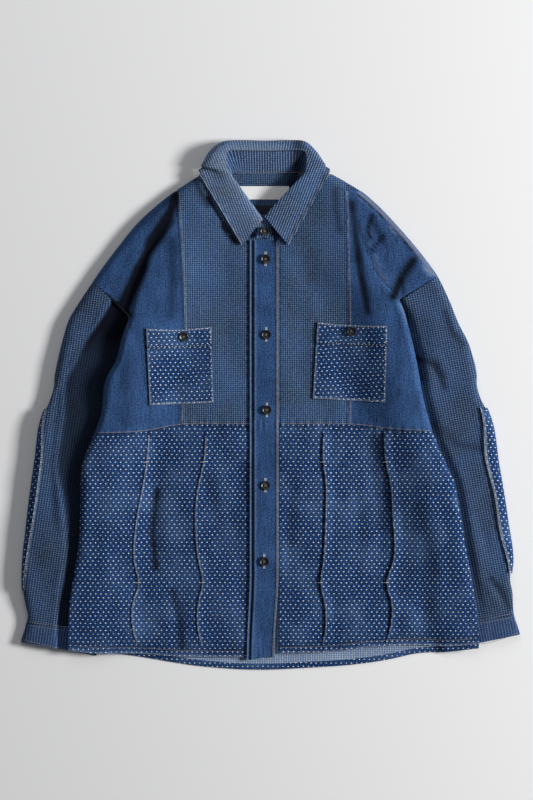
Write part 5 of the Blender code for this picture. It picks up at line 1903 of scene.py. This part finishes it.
def on_fronts(path: tuple, lift: float = 0.1) -> Array:
    """Returns: a line of the plan laid on the fronts."""
    path = np.array(path, float)
    fine = []
    for first, second in zip(path[:-1], path[1:]):
        count = max(2, int(np.hypot(*(second - first)) / 3.0))
        fine += [first + (second - first) * i / count for i in range(count)]
    fine = np.array([*fine, path[-1]])
    return np.column_stack([fine, top_of_fronts(fine[:, 0], fine[:, 1]) + lift])


class Sewing:
    """The thread that shows: seams, hems, edges and bar-tacks."""

    def __init__(self, collar: Collar) -> None:
        """Starts both threads, and keeps the collar whose grids carry its rows."""
        self.tan = Thread("tan_stitching", TAN_THREAD)
        self.white = Thread("white_bar_tacks", WHITE_THREAD)
        self.collar = collar

    def seams(self) -> None:
        """Adds the rows of the fronts' seams and hems."""
        for half in (LEFT, RIGHT):
            waist_end, hem_end = float(half.body_edge(-40.0)) - 4, float(half.body_edge(-368.0)) - 8
            self.tan.row(on_fronts(line_path(half.seam, 318, -28, half.sign, 2.6 * half.sign)))
            self.tan.row(on_fronts(line_path(half.waist, 16, waist_end, half.sign, 1.6)), 2.9, 2.5, 0.95)
            self.tan.row(on_fronts(line_path(half.front_hem, 14, hem_end, half.sign, 9.0)))
        for inward in (3.4, 4.9, 6.4):
            self.tan.row(on_fronts(beside_outline(RIGHT, 322.0, 199.0, inward)), 2.7, 2.0, 0.9)

    def edges(self) -> None:
        """Adds the rows of the placket and the collar."""
        y = np.linspace(PLACKET_TOP_Y - 3, PLACKET_FOOT_Y + 5, 240)
        x = placket_edges(y)[1] - 3.0
        self.tan.row(np.column_stack([x, y, placket_surface(x, y) + 0.05]))
        fall, stand = self.collar.fall_grid, self.collar.stand_grid
        raise_by = np.array((0, 0, 0.1))
        self.tan.row(fall[:48, 26] + raise_by)
        self.tan.row(fall[-50:, 26] + raise_by)
        self.tan.row(fall[62:-62, 1] + raise_by)
        self.tan.row(stand[:, 1] + np.array((0, 0, 0.6)))

    def sleeves(self) -> None:
        """Adds the rows of the cuffs and of the elbow patches."""
        for half in (LEFT, RIGHT):
            foot = Line(*half.cuff_foot, along=Along.X)
            out = float(half.outline(half.cuff_y[0])) - 5
            inside = float(half.body_edge(half.cuff_y[0])) + 4
            for up in (2.5, -3.0):
                x = np.linspace(inside, out, 30)
                share = (x - inside) / (out - inside)
                y = half.cuff_y[1] + (half.cuff_y[0] - half.cuff_y[1]) * share + up
                self.tan.row(half.points(x, y, sleeve_surface(half, x, y) + 0.15))
            x = np.linspace(float(half.body_edge(-350.0)) + 4, 371.0, 30)
            y = foot(x) + 4.0
            self.tan.row(half.points(x, y, sleeve_surface(half, x, y) + 0.15))
            y = np.linspace(half.patch_y[0] - 3, half.patch_y[1] + 3, 90)
            x = half.outline(y) - half.patch_width(y) + 0.6
            z = sleeve_surface(half, x, y) + LAY + CLOTH + 0.7
            self.white.row(half.points(x, y, z), 3.6, 2.0, 0.6)

    def pockets(self, pockets: list[Pocket]) -> None:
        """Adds the pale running stitches round the pockets and along their hems."""
        along = np.linspace(0.015, 0.985, 60)
        for pocket in pockets:
            for u, v, pitch in (
                (along, 0.012 + 0.0 * along, 5.0), (along, pocket.half.pocket_hem + 0.0 * along, 5.6),
                (along, 0.98 + 0.0 * along, 6.6), (0.018 + 0.0 * along, along, 8.8),
            ):
                self.white.row(pocket.surface(u, v) + np.array((0, 0, 0.15)), pitch, 1.6, 1.1)

    def tacks(self) -> None:
        """Adds the bar-tacks at the ends of the tucks and the buttonholes."""
        for half in (LEFT, RIGHT):
            for tuck in half.tucks:
                for y in (-86.0, -267.0):
                    x = half.sign * float(tuck(y))
                    self.white.row(on_fronts(((x - 4.5, y), (x + 4.0, y + 0.8)), 0.5), 1.3, 1.5, 1.15)
        for x, y in FRONT_BUTTONS:
            for side in (-0.9, 0.9):
                run = np.linspace(y - 10.4, y + 11.4, 16)
                across = x + side + 0 * run
                path = np.column_stack([across, run, placket_surface(across, run) + 0.1])
                self.white.row(path, 1.2, 1.25, 1.0)

    def build(self, wardrobe: Wardrobe, pockets: list[Pocket]) -> None:
        """Sews everything and makes both threads' pieces.

        Args:
            wardrobe: Where materials are kept.
            pockets: The pockets to sew on.
        """
        self.pockets(pockets)
        self.seams()
        self.edges()
        self.sleeves()
        self.tacks()
        self.tan.build(wardrobe)
        self.white.build(wardrobe)


@dataclass(frozen=True)
class Button:
    """A turned horn button with a raised rim and crossed thread, on cloth that slopes in x and y."""

    node: str
    x: float
    y: float
    base: float
    slope_x: float
    slope_y: float

    def build(self, wardrobe: Wardrobe, thread: Thread) -> bpy.types.Object:
        """Makes the button and adds its thread.

        Args:
            wardrobe: Where materials are kept.
            thread: The thread that crosses it.

        Returns:
            The button's object.
        """
        sides = BUTTON_FACETS
        turn = np.arange(sides) * 2 * math.pi / sides
        rings = []
        for radius, rise in BUTTON_PROFILE:
            east, north = BUTTON_RADIUS * radius * np.cos(turn), BUTTON_RADIUS * radius * np.sin(turn)
            up = self.base + BUTTON_HEIGHT * rise + east * self.slope_x + north * self.slope_y
            rings.append(np.stack([self.x + east, self.y + north, up], -1))
        points = [(self.x, self.y, self.base), *np.concatenate(rings).tolist()]
        points.append((self.x, self.y, self.base + BUTTON_HEIGHT * BUTTON_DISH))
        faces = []
        last = 1 + (len(rings) - 1) * sides
        for this in range(sides):
            following = (this + 1) % sides
            faces.append((0, 1 + following, 1 + this))
            for low in range(1, last, sides):
                high = low + sides
                faces.append((low + this, low + following, high + following, high + this))
            faces.append((last + this, last + following, len(points) - 1))
        mesh = bpy.data.meshes.new(self.node)
        mesh.from_pydata((np.array(points) * MM).tolist(), [], faces)
        mesh.materials.append(wardrobe.material(HORN))
        mesh.shade_smooth()
        mesh.set_sharp_from_angle(angle=math.radians(40))
        top = self.base + BUTTON_HEIGHT * 0.66
        for way in ((1.5, 1.5), (1.5, -1.5)):
            start = (self.x - way[0], self.y - way[1], top)
            end = (self.x + way[0], self.y + way[1], top)
            thread.row(np.array((start, end)), 4.2, 4.0, 1.0)
        return place_piece("turned_" + self.node, mesh, HORN.slot, self.node)


def make_buttons(wardrobe: Wardrobe) -> None:
    """Makes every button where its solid lies, on the slope of the cloth below it."""
    thread = Thread("button_thread", GREY_THREAD)
    spots = [(f"front_button_{i}", x, y) for i, (x, y) in enumerate(FRONT_BUTTONS, start=1)]
    spots.append(("stand_button", *STAND_BUTTON))
    for half in (LEFT, RIGHT):
        x, y = half.pocket_button
        spots.append((f"pocket_button_{half.name}", half.sign * x, y))
    for node, x, y in spots:
        low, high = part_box(node)
        slope_x = float(top_of_fronts(x + 6.0, y) - top_of_fronts(x - 6.0, y)) / 12.0
        slope_y = float(top_of_fronts(x, y + 6.0) - top_of_fronts(x, y - 6.0)) / 12.0
        if node == "stand_button":
            slope_x = slope_y = 0.0
        middle = (low.z + high.z) / 2 / MM
        Button(node, x, y, middle - BUTTON_HEIGHT / 2, slope_x, slope_y).build(wardrobe, thread)
    thread.build(wardrobe)
    LOG.info("%d buttons", len(spots))


@dataclass(frozen=True)
class Label:
    """A bare label, flat on the inside of the back, from its lower left to its upper right corner."""

    node: str
    low: tuple[float, float]
    high: tuple[float, float]
    finish: Finish

    def piece(self, back: Back) -> ClothPiece:
        """Returns: the label, on the back that it is sewn to."""
        (west, south), (east, north) = self.low, self.high
        x, y = np.meshgrid(np.linspace(west, east, 30), np.linspace(north, south, 12))
        z = back.surface(x, y) + SEAM_GAP + LABEL_THICKNESS + 0.2 * np.sin(x / 9.0)
        outer = np.stack([x, y, z], -1)
        width, height = (east - west) * MM, (north - south) * MM
        return ClothPiece(
            self.node, self.finish, outer, wall_below(outer, LABEL_WALL), outer[:, :, :2].copy(),
            (width, height), width * height, ("cloth_back_upper",),
        )


# Stage


@dataclass(frozen=True)
class SoftBox:
    """A rectangular lamp that looks at the middle of the jacket."""

    name: str
    size: tuple[float, float]
    power: float
    colour: tuple[float, float, float]
    place: tuple[float, float, float]

    def build(self) -> bpy.types.Object:
        """Returns: the lamp, in the scene."""
        lamp = bpy.data.lights.new(self.name, "AREA")
        lamp.shape = "RECTANGLE"
        lamp.size, lamp.size_y = self.size
        lamp.energy = self.power
        lamp.color = self.colour
        made = bpy.data.objects.new(self.name, lamp)
        bpy.context.scene.collection.objects.link(made)
        made.location = self.place
        made.rotation_euler = (-made.location).to_track_quat("-Z", "Y").to_euler()
        return made


# A low window from the right, which draws the weave and the long shadows, and a weak fill from above
KEY = SoftBox("low_window_light", (1.5, 0.9), 395.0, (1.0, 0.985, 0.96), (4.55, 0.35, 2.1))
FILL = SoftBox("soft_fill", (2.4, 2.4), 27.0, (1.0, 1.0, 1.0), (-0.3, 2.7, 2.4))
ROOM_COLOUR = "#eef1f6"
ROOM_LIGHT = 0.155
CAMERA_PLACE = (-0.006, 0.0075, 4.012)
CAMERA_LENS = 120.0


def make_stage(wardrobe: Wardrobe) -> None:
    """Adds the pale surface, the lamps, the room's even light and the camera.

    Args:
        wardrobe: Where materials are kept.
    """
    scene = bpy.context.scene
    bpy.ops.mesh.primitive_plane_add(size=9.0, location=(0.0, 0.0, -0.0003))
    floor = bpy.context.object
    floor.name = "pale_surface"
    floor.data.materials.append(wardrobe.material(FLOOR))
    world = bpy.data.worlds.new("soft_room_light")
    world.use_nodes = True
    room = world.node_tree.nodes["Background"]
    room.inputs["Color"].default_value = linear(ROOM_COLOUR)
    room.inputs["Strength"].default_value = ROOM_LIGHT
    scene.world = world
    lens = bpy.data.cameras.new("overhead_camera")
    lens.lens = CAMERA_LENS
    camera = bpy.data.objects.new("overhead_camera", lens)
    camera.location = CAMERA_PLACE
    scene.collection.objects.link(camera)
    scene.camera = camera
    scene.view_settings.view_transform = "Standard"
    KEY.build()
    FILL.build()


def main() -> None:
    """Builds every piece and lights the scene."""
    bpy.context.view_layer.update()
    wardrobe = Wardrobe()
    back, collar = Back(), Collar()
    pockets = [Pocket(LEFT), Pocket(RIGHT)]
    pieces = back.pieces()
    for half in (LEFT, RIGHT):
        pieces += Fronts(half).pieces()
        pieces += Sleeve(half).pieces()
    pieces += [pocket.piece() for pocket in pockets]
    pieces += [Placket().piece(), collar.stand(), collar.fall()]
    pieces.append(Label("neck_label", (-48, 309), (28, 329), NECK_TAPE).piece(back))
    pieces.append(Label("size_label", (-24, 288), (7, 300), SIZE_TAPE).piece(back))
    for piece in pieces:
        piece.build(wardrobe)
    make_buttons(wardrobe)
    Sewing(collar).build(wardrobe, pockets)
    make_stage(wardrobe)


if __name__ == "__main__":
    main()
